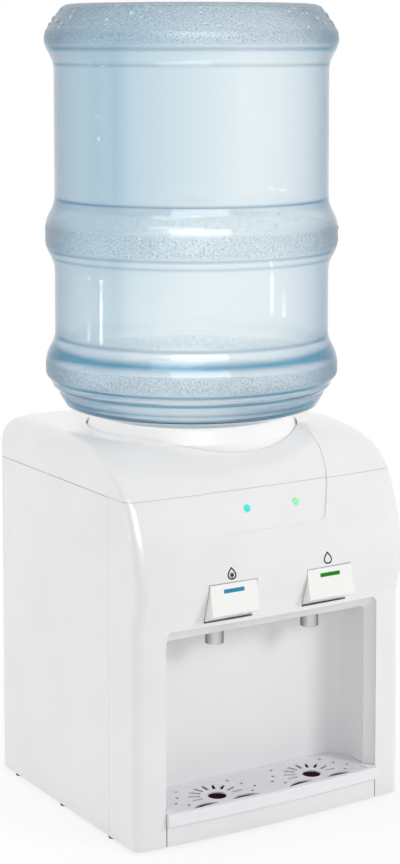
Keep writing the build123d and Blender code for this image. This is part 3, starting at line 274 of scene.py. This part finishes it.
finish = {
    # Glossy ABS: the cabinet mouldings. Bright, nearly neutral white with a wet-looking skin.
    "shell_white": moulded("abs_gloss_white", "#ECECEC", "#F0F0F0", 0.17, 2.2, 0.05, 0.03, coat=0.25),
    # Satin ABS: the alcove liner, a touch greyer so that it reads as a separate moulding.
    "liner_white": moulded("abs_satin_white", "#ECECED", "#EEEEEF", 0.30, 1.6, 0.06, 0.012),
    # Satin ABS with a faint lavender cast: the tray, and its grille a step greyer.
    "tray_white": moulded("abs_satin_lavender", "#F0F0F4", "#F2F2F6", 0.26, 1.4, 0.05, 0.012),
    "tray_grey": moulded("abs_satin_grey", "#E3E3E7", "#E6E6EA", 0.30, 1.2, 0.08, 0.015),
    # Glossy ABS, warmer and whiter than the cabinet: the push paddles.
    "paddle_white": moulded("abs_gloss_warm_white", "#F7F7F4", "#FBFBF9", 0.20, 1.6, 0.04),
    # Acrylic inserts with a satin print: flat strong colour with little shine.
    "bar_blue": moulded("acrylic_blue", "#2A86AC", "#318FB6", 0.45, 0.8, 0.03, ior=1.25),
    "bar_green": moulded("acrylic_green", "#158009", "#1C8A10", 0.45, 0.8, 0.03, ior=1.25),
    # Tinted acrylic lenses, lit from behind: a clear pale glow.
    "lamp_cyan": lamp_lens("lens_cyan", "#25CFC8", "#5CE3DC"),
    "lamp_green": lamp_lens("lens_green", "#7CDD9E", "#A6EDBC"),
    # Polyethylene cap: soft blue with a dull, slightly waxy skin.
    "cap_blue": moulded("polyethylene_blue", "#3E63B4", "#4A70C2", 0.42, 1.2, 0.10),
    # Natural polypropylene: cloudy and waxy, with a soft gloss.
    "inner_plastic": moulded("polypropylene_natural", "#E0DFDB", "#EAE9E5", 0.40, 2.0, 0.10),
    # Rubber: nearly black and dull. Silicone: milky with a soft sheen.
    "seal_rubber": moulded("rubber_black", "#1A1A1B", "#262627", 0.72, 0.7, 0.30),
    "silicone": moulded("silicone_clouded", "#D8D8D2", "#E6E6E1", 0.48, 1.0, 0.10, ior=1.41),
    # Expanded polystyrene: white and dry, with pea-sized beads.
    "foam_white": beaded("polystyrene_beads", "#E6E6E3", "#F4F4F2", 3.5, 0.5),
    # Drawn steel and mill-finish aluminium: grey, with fine lines along the working direction.
    "steel": metal("steel_drawn", "#A9ABAD", "#C9CBCD", 0.30, 0.5, (1.0, 8.0, 1.0)),
    "aluminium": metal("aluminium_mill", "#BFC1C4", "#D6D8DA", 0.34, 0.7, (1.0, 1.0, 10.0)),
    # Sintered alumina of the cooling module: chalky and fine-grained.
    "module_white": beaded("alumina_fine", "#E9E8E2", "#F2F1EC", 0.6, 0.05),
    # Nylon of the fan, the switch and the small parts: black, with a low sheen.
    "fan_black": moulded("nylon_black", "#161617", "#202022", 0.50, 1.0, 0.20),
    "component_black": moulded("nylon_dark", "#1B1B1D", "#27272A", 0.42, 0.9, 0.15),
    # Glass-fibre laminate of the circuit boards: deep green under lacquer.
    "board_green": moulded("laminate_green", "#2A5A3A", "#34694A", 0.38, 0.9, 0.10),
    "bottle_blue": polycarbonate(),
    "spout_clear": smoky_and_shaded_polypropylene(),
}
WATER = clear_water()
# Screen-printed ink, matt and slightly uneven, for the signs over the paddles.
INK = moulded("ink_slate", "#1B2A45", "#243554", 0.55, 0.5, 0.15, ior=1.3)
# Dark brown sheet under the grille, painted shade: it stands in for the shade in the tray, which makes the
# grille's openings look dark.
SHADE_SHEET = moulded("painted_shade_sheet_brown", "#1C090D", "#2A1116", 0.85, 0.9, 0.60, ior=1.12)

for part in frame["record"]["subparts"]:
    slots = nodes[part["node"]].data.materials
    slots.clear()
    slots.append(finish[part["material_slot"]])
# The bottle's collar is a separate, whiter and duller moulding than the cabinet.
nodes["bottle_seat"].data.materials[0] = moulded(
    "abs_matt_white", "#FAFAFA", "#FDFDFD", 0.42, 1.6, 0.05, 0.02,
)


def surface(name, points, faces, material, body, smooth=True):
    """One finished piece from arrays of points (mm) and faces, riding on a body."""
    mesh = bpy.data.meshes.new(name)
    mesh.from_pydata((np.asarray(points) * MM).tolist(), [], np.asarray(faces).tolist())
    mesh.validate()
    merged = bmesh.new()
    merged.from_mesh(mesh)
    bmesh.ops.remove_doubles(merged, verts=merged.verts, dist=1e-7)
    bmesh.ops.recalc_face_normals(merged, faces=merged.faces)
    merged.to_mesh(mesh)
    merged.free()
    mesh.polygons.foreach_set("use_smooth", np.full(len(mesh.polygons), smooth))
    mesh.materials.append(material)
    piece = bpy.data.objects.new(name, mesh)
    scene.collection.objects.link(piece)
    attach(piece, body)
    return piece


def stage_piece(name, points, faces, material):
    """A floor or card that isn't part of the object, from a grid of points (m) and its faces."""
    mesh = bpy.data.meshes.new(name)
    mesh.from_pydata(points.reshape(-1, 3).tolist(), [], faces.tolist())
    mesh.materials.append(material)
    piece = bpy.data.objects.new(name, mesh)
    scene.collection.objects.link(piece)
    return piece


def vertex_rows(rows, field):
    """A mesh's vertex places or normals, as an array with one row for each vertex."""
    flat = np.zeros(len(rows) * 3, np.float32)
    rows.foreach_get(field, flat)
    return flat.reshape(-1, 3).astype(float)


def grid_faces(rows, columns, wrap_rows=False, wrap_columns=False, first=0):
    """Quads of a grid of rows by columns points, joined round where a way is closed."""
    i = np.arange(rows if wrap_rows else rows - 1)[:, None]
    j = np.arange(columns if wrap_columns else columns - 1)[None, :]
    i2, j2 = (i + 1) % rows, (j + 1) % columns
    quads = np.stack([i * columns + j, i * columns + j2, i2 * columns + j2, i2 * columns + j], -1)
    return quads.reshape(-1, 4) + first


def softened(points, radius, steps=6):
    """Polyline with each inner corner replaced by a parabola that starts radius away from it,
    or at four tenths of the shorter neighbour."""
    points = np.asarray(points, float)
    before, corner, after = points[:-2], points[1:-1], points[2:]
    back, ahead = before - corner, after - corner
    long_back = np.linalg.norm(back, axis=1, keepdims=True)
    long_ahead = np.linalg.norm(ahead, axis=1, keepdims=True)
    reach = np.minimum(radius, 0.4 * np.minimum(long_back, long_ahead))
    start = corner + back / long_back * reach
    end = corner + ahead / long_ahead * reach
    t = np.linspace(0, 1, steps)[None, :, None]
    bend = (1 - t) ** 2 * start[:, None] + 2 * t * (1 - t) * corner[:, None] + t ** 2 * end[:, None]
    return np.vstack([points[:1], bend.reshape(-1, 2), points[-1:]])


def bell(values, centre, width):
    """Smooth bump of height 1 about a centre."""
    return np.exp(-((values - centre) / width) ** 2)


def shelf(values, low, high, soft):
    """1 between two values and 0 outside, with soft ends."""
    return np.clip((values - low) / soft, 0, 1) * np.clip((high - values) / soft, 0, 1)


# Bottle (mm): its wall, the radii of its bands, waists and neck, and the drop from a band to a waist
WALL, BAND, WAIST, NECK, SLOPE = 1.8, 135.0, 126.4, 27.5, 16.5
# Its base, which is on top here: a dimple within a rim, and a bevel down to the top band
DIMPLE, DIMPLE_RADIUS, RIM_INSIDE, RIM_OUTSIDE = 6.0, 88.0, 96.0, 117.5
BEVEL_DROP, TOP_BAND_DROP = 26.0, 37.0
# Heights of the middle and the low band, the shoulder's steps, the dome's edge and the neck's root
MIDDLE_TOP, MIDDLE_FOOT, LOW_TOP, LOW_FOOT = 528.5, 505.5, 404.5, 387.5
STEPS = [(130.2, 381.9), (129.0, 377.9), (124.2, 373.9), (123.0, 369.9)]
DOME_EDGE = (117.0, 359.6)
NECK_ROOT = 306.0
# Radius that softens a corner, spacing of the rings along the section and the least gap between two
CORNER, RING_SPACING, RING_GAP = 7.0, 2.6, 0.4
# Columns round the axis, and the two upright mould lines: height, bearing (radians) and width
ROUND = 120
MOULD_PROUD, MOULD_BEARING, MOULD_WIDTH = 0.25, 0.35, 0.004

# The dome follows the solid: its lowest point ring by ring, smoothed by a polynomial that stays above.
# Radii of its first and last ring, their number and reach, the polynomial's degree and the clearance
DOME_FIRST, DOME_LAST, DOME_RINGS, RING_REACH = 116.5, 28.2, 40, 1.6
DOME_DEGREE, DOME_CLEAR = 7, 0.1
cad = vertex_rows(nodes["bottle"].data.vertices, "co") / MM
cad = cad[(cad[:, 2] < DOME_EDGE[1] - 0.2) & (cad[:, 2] > NECK_ROOT + 0.1)]
cad_r = np.hypot(cad[:, 0], cad[:, 1] - AXIS_Y)
dome_r = np.linspace(DOME_FIRST, DOME_LAST, DOME_RINGS)
near = np.abs(cad_r[None, :] - dome_r[:, None]) < RING_REACH
dome_z = np.where(near, cad[:, 2][None, :], np.inf).min(1)
dome_curve = np.polyfit(dome_r, dome_z, DOME_DEGREE)
dome_z = np.maximum(np.polyval(dome_curve, dome_r), dome_z) + DOME_CLEAR
dome = np.column_stack([dome_r, dome_z])

# One half section of base, bands, waists, steps, dome and neck, outside and then inside
section = [
    (0, TOP - DIMPLE), (DIMPLE_RADIUS, TOP - DIMPLE), (RIM_INSIDE, TOP), (RIM_OUTSIDE, TOP),
    (BAND, TOP - BEVEL_DROP), (BAND, TOP - TOP_BAND_DROP), (WAIST, TOP - TOP_BAND_DROP - SLOPE),
    (WAIST, MIDDLE_TOP + SLOPE), (BAND, MIDDLE_TOP), (BAND, MIDDLE_FOOT), (WAIST, MIDDLE_FOOT - SLOPE),
    (WAIST, LOW_TOP + SLOPE), (BAND, LOW_TOP), (BAND, LOW_FOOT), *STEPS, DOME_EDGE,
]
outside = np.vstack([softened(section, CORNER), dome[1:], [(NECK, NECK_ROOT), (NECK, MOUTH + 0.2)]])
run = np.concatenate([[0], np.cumsum(np.linalg.norm(np.diff(outside, axis=0), axis=1))])
even = np.unique(np.concatenate([run, np.linspace(0, run[-1], int(run[-1] / RING_SPACING))]))
even = even[np.concatenate([[True], np.diff(even) > RING_GAP])]
outside = np.column_stack([np.interp(even, run, outside[:, 0]), np.interp(even, run, outside[:, 1])])
turn = np.gradient(outside, even, axis=0)
turn /= np.linalg.norm(turn, axis=1, keepdims=True) + 1e-9
inward = np.column_stack([turn[:, 1], -turn[:, 0]])
inside = np.maximum(outside + WALL * inward, 0.0)
inside[0] = (0, outside[0, 1] - WALL)
inside[-1] = (NECK - WALL, outside[-1, 1])
ring_r, ring_z = np.vstack([outside, inside[::-1]]).T

# The section is carried round the axis; the mould lines stand on the waists and slopes outside.
angle = np.linspace(0, 2 * np.pi, ROUND, endpoint=False)
mould_line = MOULD_PROUD * bell(np.cos(angle - MOULD_BEARING) ** 2, 1.0, MOULD_WIDTH)
lined = (np.arange(len(ring_r)) < len(outside)) & (ring_r > 100) & (ring_r < BAND - 1) & (ring_z < TOP - 28)
radius = ring_r[:, None] + lined[:, None] * mould_line[None, :]
bottle_points = np.stack([
    radius * np.cos(angle), radius * np.sin(angle) + AXIS_Y, np.repeat(ring_z[:, None], ROUND, 1),
], -1).reshape(-1, 3)
bottle = surface(
    "bottle_shell", bottle_points, grid_faces(len(ring_r), ROUND, wrap_columns=True),
    finish["bottle_blue"], "bottle",
)
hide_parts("bottle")

# Masks on the bottle. Pebbles: on each band, by lowest and highest point and least radius. Painted shade,
# where refraction darkens the wall at the ring corners: lines by share, height and width, zones by share,
# ends and softness, and the darker dome
PEBBLE_ZONES, PEBBLE_SOFT = ((504, 527, 130), (386, 403, 130), (TOP - 37, TOP + 4, 100)), 3
SHADE_LINES = (
    (0.50, 686, 1.6), (0.60, 672, 1.3), (0.85, 549.5, 1.3), (0.25, 545, 4), (0.60, 503, 1.4),
    (0.50, 496, 1.4), (0.20, 429, 4), (0.80, 424, 1.6), (1.00, 411, 5), (0.70, 384.5, 1.4),
    (0.70, 376, 1.4), (0.60, 367, 1.4),
)
SHADE_ZONES = ((0.25, TOP - 44, TOP - 22, 5), (0.14, 500, 532, 6), (0.22, 360, 408, 6))
DOME_SHADE, DOME_HEIGHT = 0.72, 362
points = vertex_rows(bottle.data.vertices, "co") / MM - np.array([0, AXIS_Y, 0])
up, out = points[:, 2], np.hypot(points[:, 0], points[:, 1])
pebble = sum(shelf(up, low, high, PEBBLE_SOFT) * (out > least) for low, high, least in PEBBLE_ZONES)
# Painted shade: dark lines and soft zones at the ring corners, and the dome darker all over.
painted_shade = DOME_SHADE * (up < DOME_HEIGHT)
painted_shade = painted_shade + sum(share * bell(up, height, width) for share, height, width in SHADE_LINES)
painted_shade = painted_shade + sum(share * shelf(up, low, high, soft) for share, low, high, soft in SHADE_ZONES)
normals = vertex_rows(bottle.data.vertex_normals, "vector")
# The painted shade is kept to the outer skin.
on_outer_skin = (normals[:, :2] * points[:, :2]).sum(1) > 0
for label, values in (("pebble", pebble), ("painted_shade", painted_shade * on_outer_skin)):
    layer = bottle.data.attributes.new(label, "FLOAT", "POINT")
    layer.data.foreach_set("value", np.clip(values, 0, 1).astype(np.float32))

# Condensation: flattened half beads, most of them on the bevel, some on the middle band, few on a waist
COUNT, BEVEL_SHARE, BAND_SHARE = 420, 0.8, 0.92
# Where they lie: part of the way down the bevel, heights on the band and on the waist (mm)
ON_BEVEL, ON_BAND, ON_WAIST = (0.12, 0.95), (508, 526), (600, 660)
# Radii (mm) of a small bead, what a large one has more, and the share of large ones
SMALL_BEAD, LARGE_EXTRA, LARGE_SHARE = (0.35, 0.8), (0.8, 1.8), 0.2
BEAD_ROWS, BEAD_COLUMNS, BEAD_FLATNESS = 4, 8, 0.55
rng = np.random.default_rng(7)
chance = rng.random(COUNT)[:, None]
bevel = np.array([BAND - RIM_OUTSIDE, -BEVEL_DROP])
bevel_foot = np.array([RIM_OUTSIDE, TOP]) + rng.uniform(*ON_BEVEL, COUNT)[:, None] * bevel
band_foot = np.column_stack([np.full(COUNT, BAND), rng.uniform(*ON_BAND, COUNT)])
waist_foot = np.column_stack([np.full(COUNT, WAIST), rng.uniform(*ON_WAIST, COUNT)])
foot = np.where(chance < BEVEL_SHARE, bevel_foot, np.where(chance < BAND_SHARE, band_foot, waist_foot))
bevel_normal = np.array([-bevel[1], bevel[0]]) / np.hypot(*bevel)
slope = np.where(chance < BEVEL_SHARE, bevel_normal, np.array([1.0, 0.0]))
size = rng.uniform(*SMALL_BEAD, COUNT) + (rng.random(COUNT) < LARGE_SHARE) * rng.uniform(*LARGE_EXTRA, COUNT)
around = rng.uniform(0, 2 * np.pi, COUNT)
lat, lon = np.meshgrid(
    np.linspace(0, np.pi / 2, BEAD_ROWS), np.linspace(0, 2 * np.pi, BEAD_COLUMNS, endpoint=False),
    indexing="ij",
)
bead = np.stack([
    np.cos(lat) * np.cos(lon), np.cos(lat) * np.sin(lon), BEAD_FLATNESS * np.sin(lat),
], -1).reshape(-1, 3)
radial = np.column_stack([np.cos(around), np.sin(around), np.zeros(COUNT)])
across = np.column_stack([-np.sin(around), np.cos(around), np.zeros(COUNT)])
normal = radial * slope[:, :1] + np.array([0, 0, 1.0]) * slope[:, 1:]
along = np.cross(normal, across)
centre = radial * foot[:, :1] + np.column_stack([np.zeros(COUNT), np.full(COUNT, AXIS_Y), foot[:, 1]])
axes = np.stack([across, along, normal], 1)
beads = centre[:, None] + size[:, None, None] * (bead[None] @ axes)
bead_first = np.arange(COUNT) * BEAD_ROWS * BEAD_COLUMNS
bead_faces = grid_faces(BEAD_ROWS, BEAD_COLUMNS, wrap_columns=True)[None] + bead_first[:, None, None]
drops = surface(
    "condensation", beads.reshape(-1, 3), bead_faces.reshape(-1, 4), WATER, "bottle",
)
# The clear wall and the water on it throw no shadow, and white surfaces take no tint from them.
for clear in (bottle, drops):
    clear.visible_shadow = clear.visible_diffuse = False

# The front's side profile (mm): the cabinet's top and the column's face, the radii and end angles of
# three arcs from the crown down, and how far the crease stands out and the radius that rounds it
BODY_TOP, COLUMN_FACE = 340.5, -132.5
CROWN_RADIUS, BROW_RADIUS, FACE_RADIUS = 105, 74, 245
CROWN_LEAN, BROW_LEAN, FACE_LEAN = np.radians((62.0, 24.0, 9.0))
CREASE_REACH, CREASE_RADIUS = 8.5, 26
# Half of the front's width and the depth of its bow
HALF_WIDTH, BOW = 140.5, 6


def front_face(x, z):
    """Depth of the brow: the face arc of the side profile, bowed back across the width."""
    crown, brow, face = np.sin(CROWN_LEAN), np.sin(BROW_LEAN), np.sin(FACE_LEAN)
    level = np.cos(FACE_LEAN)
    brow_top = BODY_TOP - CROWN_RADIUS * (1 - crown)
    crease = brow_top - BROW_RADIUS * (crown - brow) - FACE_RADIUS * (brow - face)
    arc = np.sqrt(FACE_RADIUS ** 2 - (z - crease + FACE_RADIUS * face) ** 2) - FACE_RADIUS * level
    reach = CREASE_REACH - CREASE_RADIUS * (1 - level) + arc
    bow_radius = (HALF_WIDTH ** 2 + BOW ** 2) / (2 * BOW)
    return COLUMN_FACE - reach + bow_radius - np.sqrt(bow_radius ** 2 - x ** 2)


# Printed signs (mm): the ink's height over the brow, the drop's half width, half height and line,
# and the arms' half length, line and drop below the sign's middle
INK_PROUD = 0.07
DROP_HALF_WIDTH, DROP_HALF_HEIGHT, DROP_LINE = 5.1, 4.7, 1.3
ARM_HALF, ARM_LINE, ARM_DROP = 2.4, 1.15, 1.4
SIGN_HEIGHT, COLD_X, ROOM_X = 236.6, -51.5, 49.5


def ribbon(path_x, path_z, width, closed):
    """Printed line: two edges half a width each side of a path, laid on the brow."""
    path = np.column_stack([path_x, path_z])
    step = np.roll(path, -1, 0) - np.roll(path, 1, 0) if closed else np.gradient(path, axis=0)
    step /= np.linalg.norm(step, axis=1, keepdims=True) + 1e-9
    side = np.column_stack([-step[:, 1], step[:, 0]]) * width / 2
    edges = np.stack([path + side, path - side], 1)
    if closed:
        # At the drop's tip the inner edge would cross itself, so it gathers where it comes free.
        middle, inner = path_x[0], edges[:, 1]
        upper = path_z > path_z.mean()
        crossed = upper & ((inner[:, 0] - middle) * (path_x - middle) <= 0)
        inner[crossed] = (middle, inner[upper & ~crossed, 1].max())
    y = front_face(edges[..., 0], edges[..., 1]) - INK_PROUD
    points = np.stack([edges[..., 0], y, edges[..., 1]], -1).reshape(-1, 3)
    return points, grid_faces(len(path), 2, wrap_rows=closed)


def printed_sign(name, x, z, flake):
    """Water drop outline, a circle whose width narrows to a tip, with six arms inside where the
    water is chilled."""
    t = np.linspace(0, 2 * np.pi, 72, endpoint=False)
    drop_x = x + DROP_HALF_WIDTH * np.sin(t) * np.sin(t / 2) ** 1.1
    lines = [ribbon(drop_x, z + DROP_HALF_HEIGHT * np.cos(t), DROP_LINE, True)]
    r = np.linspace(-ARM_HALF, ARM_HALF, 5)
    for a in np.radians((30, 90, 150)) if flake else ():
        lines.append(ribbon(x + r * np.cos(a), z - ARM_DROP + r * np.sin(a), ARM_LINE, False))
    counts = np.cumsum([0] + [len(p) for p, _ in lines])
    points = np.vstack([p for p, _ in lines])
    faces = np.vstack([f + n for (_, f), n in zip(lines, counts)])
    return surface(name, points, faces, INK, "cabinet", smooth=False)


printed_sign("sign_cold", COLD_X, SIGN_HEIGHT, True)
printed_sign("sign_room", ROOM_X, SIGN_HEIGHT, False)

# Painted shade under the grille: a thin dark sheet with a bowed front, rounded back corners and a slack
# ripple, in place of the tray's shade.
# Points across and along it, then (mm) half width, margin, bow, gap, thickness, and ripple rise and size
SHEET_ACROSS, SHEET_ALONG = 61, 25
SHEET_HALF, SHEET_MARGIN, SHEET_BOW, SHEET_GAP, SHEET_THICK = 98.5, 2.6, 2.9, 0.12, 0.4
SHEET_RIPPLE_RISE, SHEET_RIPPLE = 0.05, 1.5
SHEET_NARROWING = 0.17
grille_low, grille_high = (np.array(corner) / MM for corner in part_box("drip_grille"))
u, v = np.meshgrid(np.linspace(-1, 1, SHEET_ACROSS), np.linspace(0, 1, SHEET_ALONG), indexing="ij")
sheet_front = grille_low[1] + SHEET_MARGIN + SHEET_BOW * u ** 2
sheet_back = grille_high[1] - SHEET_MARGIN
sheet_x = SHEET_HALF * u * (1 - SHEET_NARROWING * np.clip((v - 0.5) / 0.5, 0, 1) ** 3)
sheet_y = sheet_front + (sheet_back - sheet_front) * v
sheet_z = grille_low[2] - SHEET_GAP - SHEET_RIPPLE_RISE * (1 + np.sin(sheet_x / SHEET_RIPPLE) * np.sin(sheet_y / SHEET_RIPPLE))
sheet_top = np.stack([sheet_x, sheet_y, sheet_z], -1).reshape(-1, 3)
sheet_foot = sheet_top - np.array([0, 0, SHEET_THICK])
# The two faces are joined by a wall along the rim, which runs once round the grid.
grid = np.arange(SHEET_ACROSS * SHEET_ALONG).reshape(SHEET_ACROSS, SHEET_ALONG)
rim = np.concatenate([grid[:, 0], grid[-1, 1:], grid[-2::-1, -1], grid[0, -2:0:-1]])
rim_next = np.roll(rim, -1)
sheet_faces = np.vstack([
    grid_faces(SHEET_ACROSS, SHEET_ALONG), grid_faces(SHEET_ACROSS, SHEET_ALONG, first=grid.size)[:, ::-1],
    np.column_stack([rim, rim + grid.size, rim_next + grid.size, rim_next]),
])
# Painted shade: the dark sheet rides on the grille.
surface("shade_sheet", np.vstack([sheet_top, sheet_foot]), sheet_faces, SHADE_SHEET, "grille")


def seen_directly(tree):
    """1 for a ray from the camera, a gloss or a glass, and 0 for one that only lights."""
    ray = add(tree, "ShaderNodeLightPath").outputs
    seen = add(tree, "ShaderNodeMath", {
        0: ray["Is Camera Ray"], 1: ray["Is Glossy Ray"],
    }, operation="MAXIMUM").outputs[0]
    return add(tree, "ShaderNodeMath", {
        0: seen, 1: ray["Is Transmission Ray"],
    }, operation="MAXIMUM").outputs[0]


# Floor of white paper, with only a part of its shade shown to the camera, so that it stays pale:
# a fifth near the object, none from 0.9 m away. Its fibres cloud it 60 times in a metre.
FLOOR_HALF, FLOOR_POINTS, FIBRES = 6, 9, 60.0
floor_material, tree = blank("floor_paper")
place = add(tree, "ShaderNodeTexCoord").outputs["Object"]
fibre = add(tree, "ShaderNodeTexNoise", {"Vector": place, "Scale": FIBRES, "Detail": 3.0})
colour = add(tree, "ShaderNodeMix", {
    0: fibre.outputs["Fac"], MIX_A: linear("#F6F6F6"), MIX_B: linear("#FAFAFA"),
}, data_type="RGBA")
paper = add(tree, "ShaderNodeBsdfDiffuse", {"Color": colour.outputs[MIX_RESULT]})
glow = add(tree, "ShaderNodeEmission", {"Color": linear("#FFFFFF"), "Strength": 1.0})
away = add(tree, "ShaderNodeVectorMath", {0: place}, operation="LENGTH")
whiten = add(tree, "ShaderNodeMapRange", {
    "Value": away.outputs["Value"], "From Min": 0.20, "From Max": 0.9, "To Min": 0.80, "To Max": 1.0,
})
shown = add(tree, "ShaderNodeMath", {
    0: seen_directly(tree), 1: whiten.outputs["Result"],
}, operation="MULTIPLY")
mixed = add(tree, "ShaderNodeMixShader", {0: shown.outputs[0], 1: paper.outputs[0], 2: glow.outputs[0]})
add(tree, "ShaderNodeOutputMaterial", {"Surface": mixed.outputs[0]})
edge = np.linspace(-FLOOR_HALF, FLOOR_HALF, FLOOR_POINTS)
floor_x, floor_y = np.meshgrid(edge, edge, indexing="ij")
floor_points = np.stack([floor_x, floor_y, 0 * floor_x], -1)
stage_piece("floor", floor_points, grid_faces(FLOOR_POINTS, FLOOR_POINTS)[:, ::-1], floor_material)

# World: white where it is seen, softer where it only lights
world = bpy.data.worlds.new("studio")
scene.world = world
world.use_nodes = True
tree = world.node_tree
tree.nodes.clear()
strength = add(tree, "ShaderNodeMapRange", {"Value": seen_directly(tree), "To Min": 0.50, "To Max": 1.0})
sky = add(tree, "ShaderNodeBackground", {"Color": linear("#FFFFFF"), "Strength": strength.outputs["Result"]})
add(tree, "ShaderNodeOutputWorld", {"Surface": sky.outputs[0]})


def softbox(name, place, aim, wide, tall, power):
    """Rectangular studio lamp at a place (m), facing a point: wide and tall in m, power in W."""
    light = bpy.data.lights.new(name, "AREA")
    light.shape = "RECTANGLE"
    light.size, light.size_y, light.energy = wide, tall, power
    lamp = bpy.data.objects.new(name, light)
    scene.collection.objects.link(lamp)
    lamp.location = place
    gaze = np.array(aim) - np.array(place)
    yaw = math.atan2(-gaze[0], gaze[1])
    pitch = math.atan2(gaze[2], math.hypot(gaze[0], gaze[1]))
    lamp.rotation_euler = (math.pi / 2 + pitch, 0, yaw)
    return lamp


# Four boxes light the surfaces and stay out of the reflections: front right, left, top and behind.
for box in (
    softbox("key", (1.3, -2.3, 1.5), (0, -0.1, 0.25), 0.9, 0.9, 29.5),
    softbox("fill", (-2.4, 0.45, 0.8), (-0.14, 0, 0.2), 1.2, 1.2, 13.8),
    softbox("crown", (-0.3, 0.2, 2.6), (0, 0, 0.33), 1.0, 1.0, 11.0),
    softbox("rear", (0.8, 2.3, 1.0), (0, 0.1, 0.2), 1.2, 1.2, 14.0),
):
    box.visible_glossy = box.visible_transmission = False
# Three boxes shape only the reflections: a low strip left and two high ones in front.
for box in (
    softbox("strip", (-1.75, 0.64, 0.175), (0, 0.01, 0.45), 0.06, 0.16, 0.6),
    softbox("high", (-0.95, -2.05, 1.45), (-0.1, -0.1, 0.3), 2.0, 1.1, 30.0),
    softbox("canopy", (-1.5, -1.5, 2.2), (0, 0, 0.45), 1.8, 0.5, 8.0),
):
    box.visible_diffuse = False

# Camera: place (m), turn to the right and dip (degrees), lens (mm), and the shift of the framing
VIEW_PLACE, VIEW_TURN, VIEW_DIP = (-0.9791, -1.5796, 0.6937), 31.862, 4.955
VIEW_LENS, VIEW_SHIFT = 84.58, -0.25
view_data = bpy.data.cameras.new("view")
view = bpy.data.objects.new("view", view_data)
scene.collection.objects.link(view)
view.location = VIEW_PLACE
view.rotation_euler = (math.radians(90 - VIEW_DIP), 0, math.radians(-VIEW_TURN))
view_data.lens = VIEW_LENS
view_data.shift_y = VIEW_SHIFT
view_data.clip_end = 50
scene.camera = view
scene.view_settings.view_transform = "Standard"

# Flag: a bluish card behind the left of the bottle, seen only through its wall, fading to white.
# Its ends across, its middle's height, half its height and how far behind the axis it stands (m)
FLAG_LEFT, FLAG_RIGHT, FLAG_HEIGHT, FLAG_HALF, FLAG_BEHIND = -0.30, 0.056, 0.52, 0.45, 0.6
FLAG_COLUMNS, FLAG_ROWS = 49, 9
# Graded from pale at the far left to its deepest, then a soft step and a slow rise; paler low down.
GRADE_AT, GRADE = (-0.16, -0.10, -0.08, FLAG_RIGHT), (0.44, 0.14, 0.42, 0.94)
GRADE_LOW = 0.4
ahead = np.array([math.sin(math.radians(VIEW_TURN)), math.cos(math.radians(VIEW_TURN)), 0])
right = np.array([ahead[1], -ahead[0], 0])
u, v = np.meshgrid(
    np.linspace(FLAG_LEFT, FLAG_RIGHT, FLAG_COLUMNS), np.linspace(-1, 1, FLAG_ROWS), indexing="ij",
)
card = np.array([0, AXIS_Y * MM, FLAG_HEIGHT]) + FLAG_BEHIND * ahead
card = card + u[..., None] * right + v[..., None] * np.array([0, 0, FLAG_HALF])
flag_material, tree = blank("card_blue_grey")
pale = add(tree, "ShaderNodeAttribute", attribute_name="across").outputs["Fac"]
colour = add(tree, "ShaderNodeMix", {
    0: pale, MIX_A: linear("#A3C4D6"), MIX_B: linear("#FFFFFF"),
}, data_type="RGBA")
shade = add(tree, "ShaderNodeEmission", {"Color": colour.outputs[MIX_RESULT], "Strength": 1.0})
add(tree, "ShaderNodeOutputMaterial", {"Surface": shade.outputs[0]})
flag = stage_piece("flag", card, grid_faces(FLAG_COLUMNS, FLAG_ROWS), flag_material)
grade = np.interp(u, GRADE_AT, GRADE) + np.clip(-v, 0, GRADE_LOW)
layer = flag.data.attributes.new("across", "FLOAT", "POINT")
layer.data.foreach_set("value", np.clip(grade, 0, 1).reshape(-1).astype(np.float32))
flag.visible_camera = flag.visible_diffuse = flag.visible_glossy = flag.visible_shadow = False
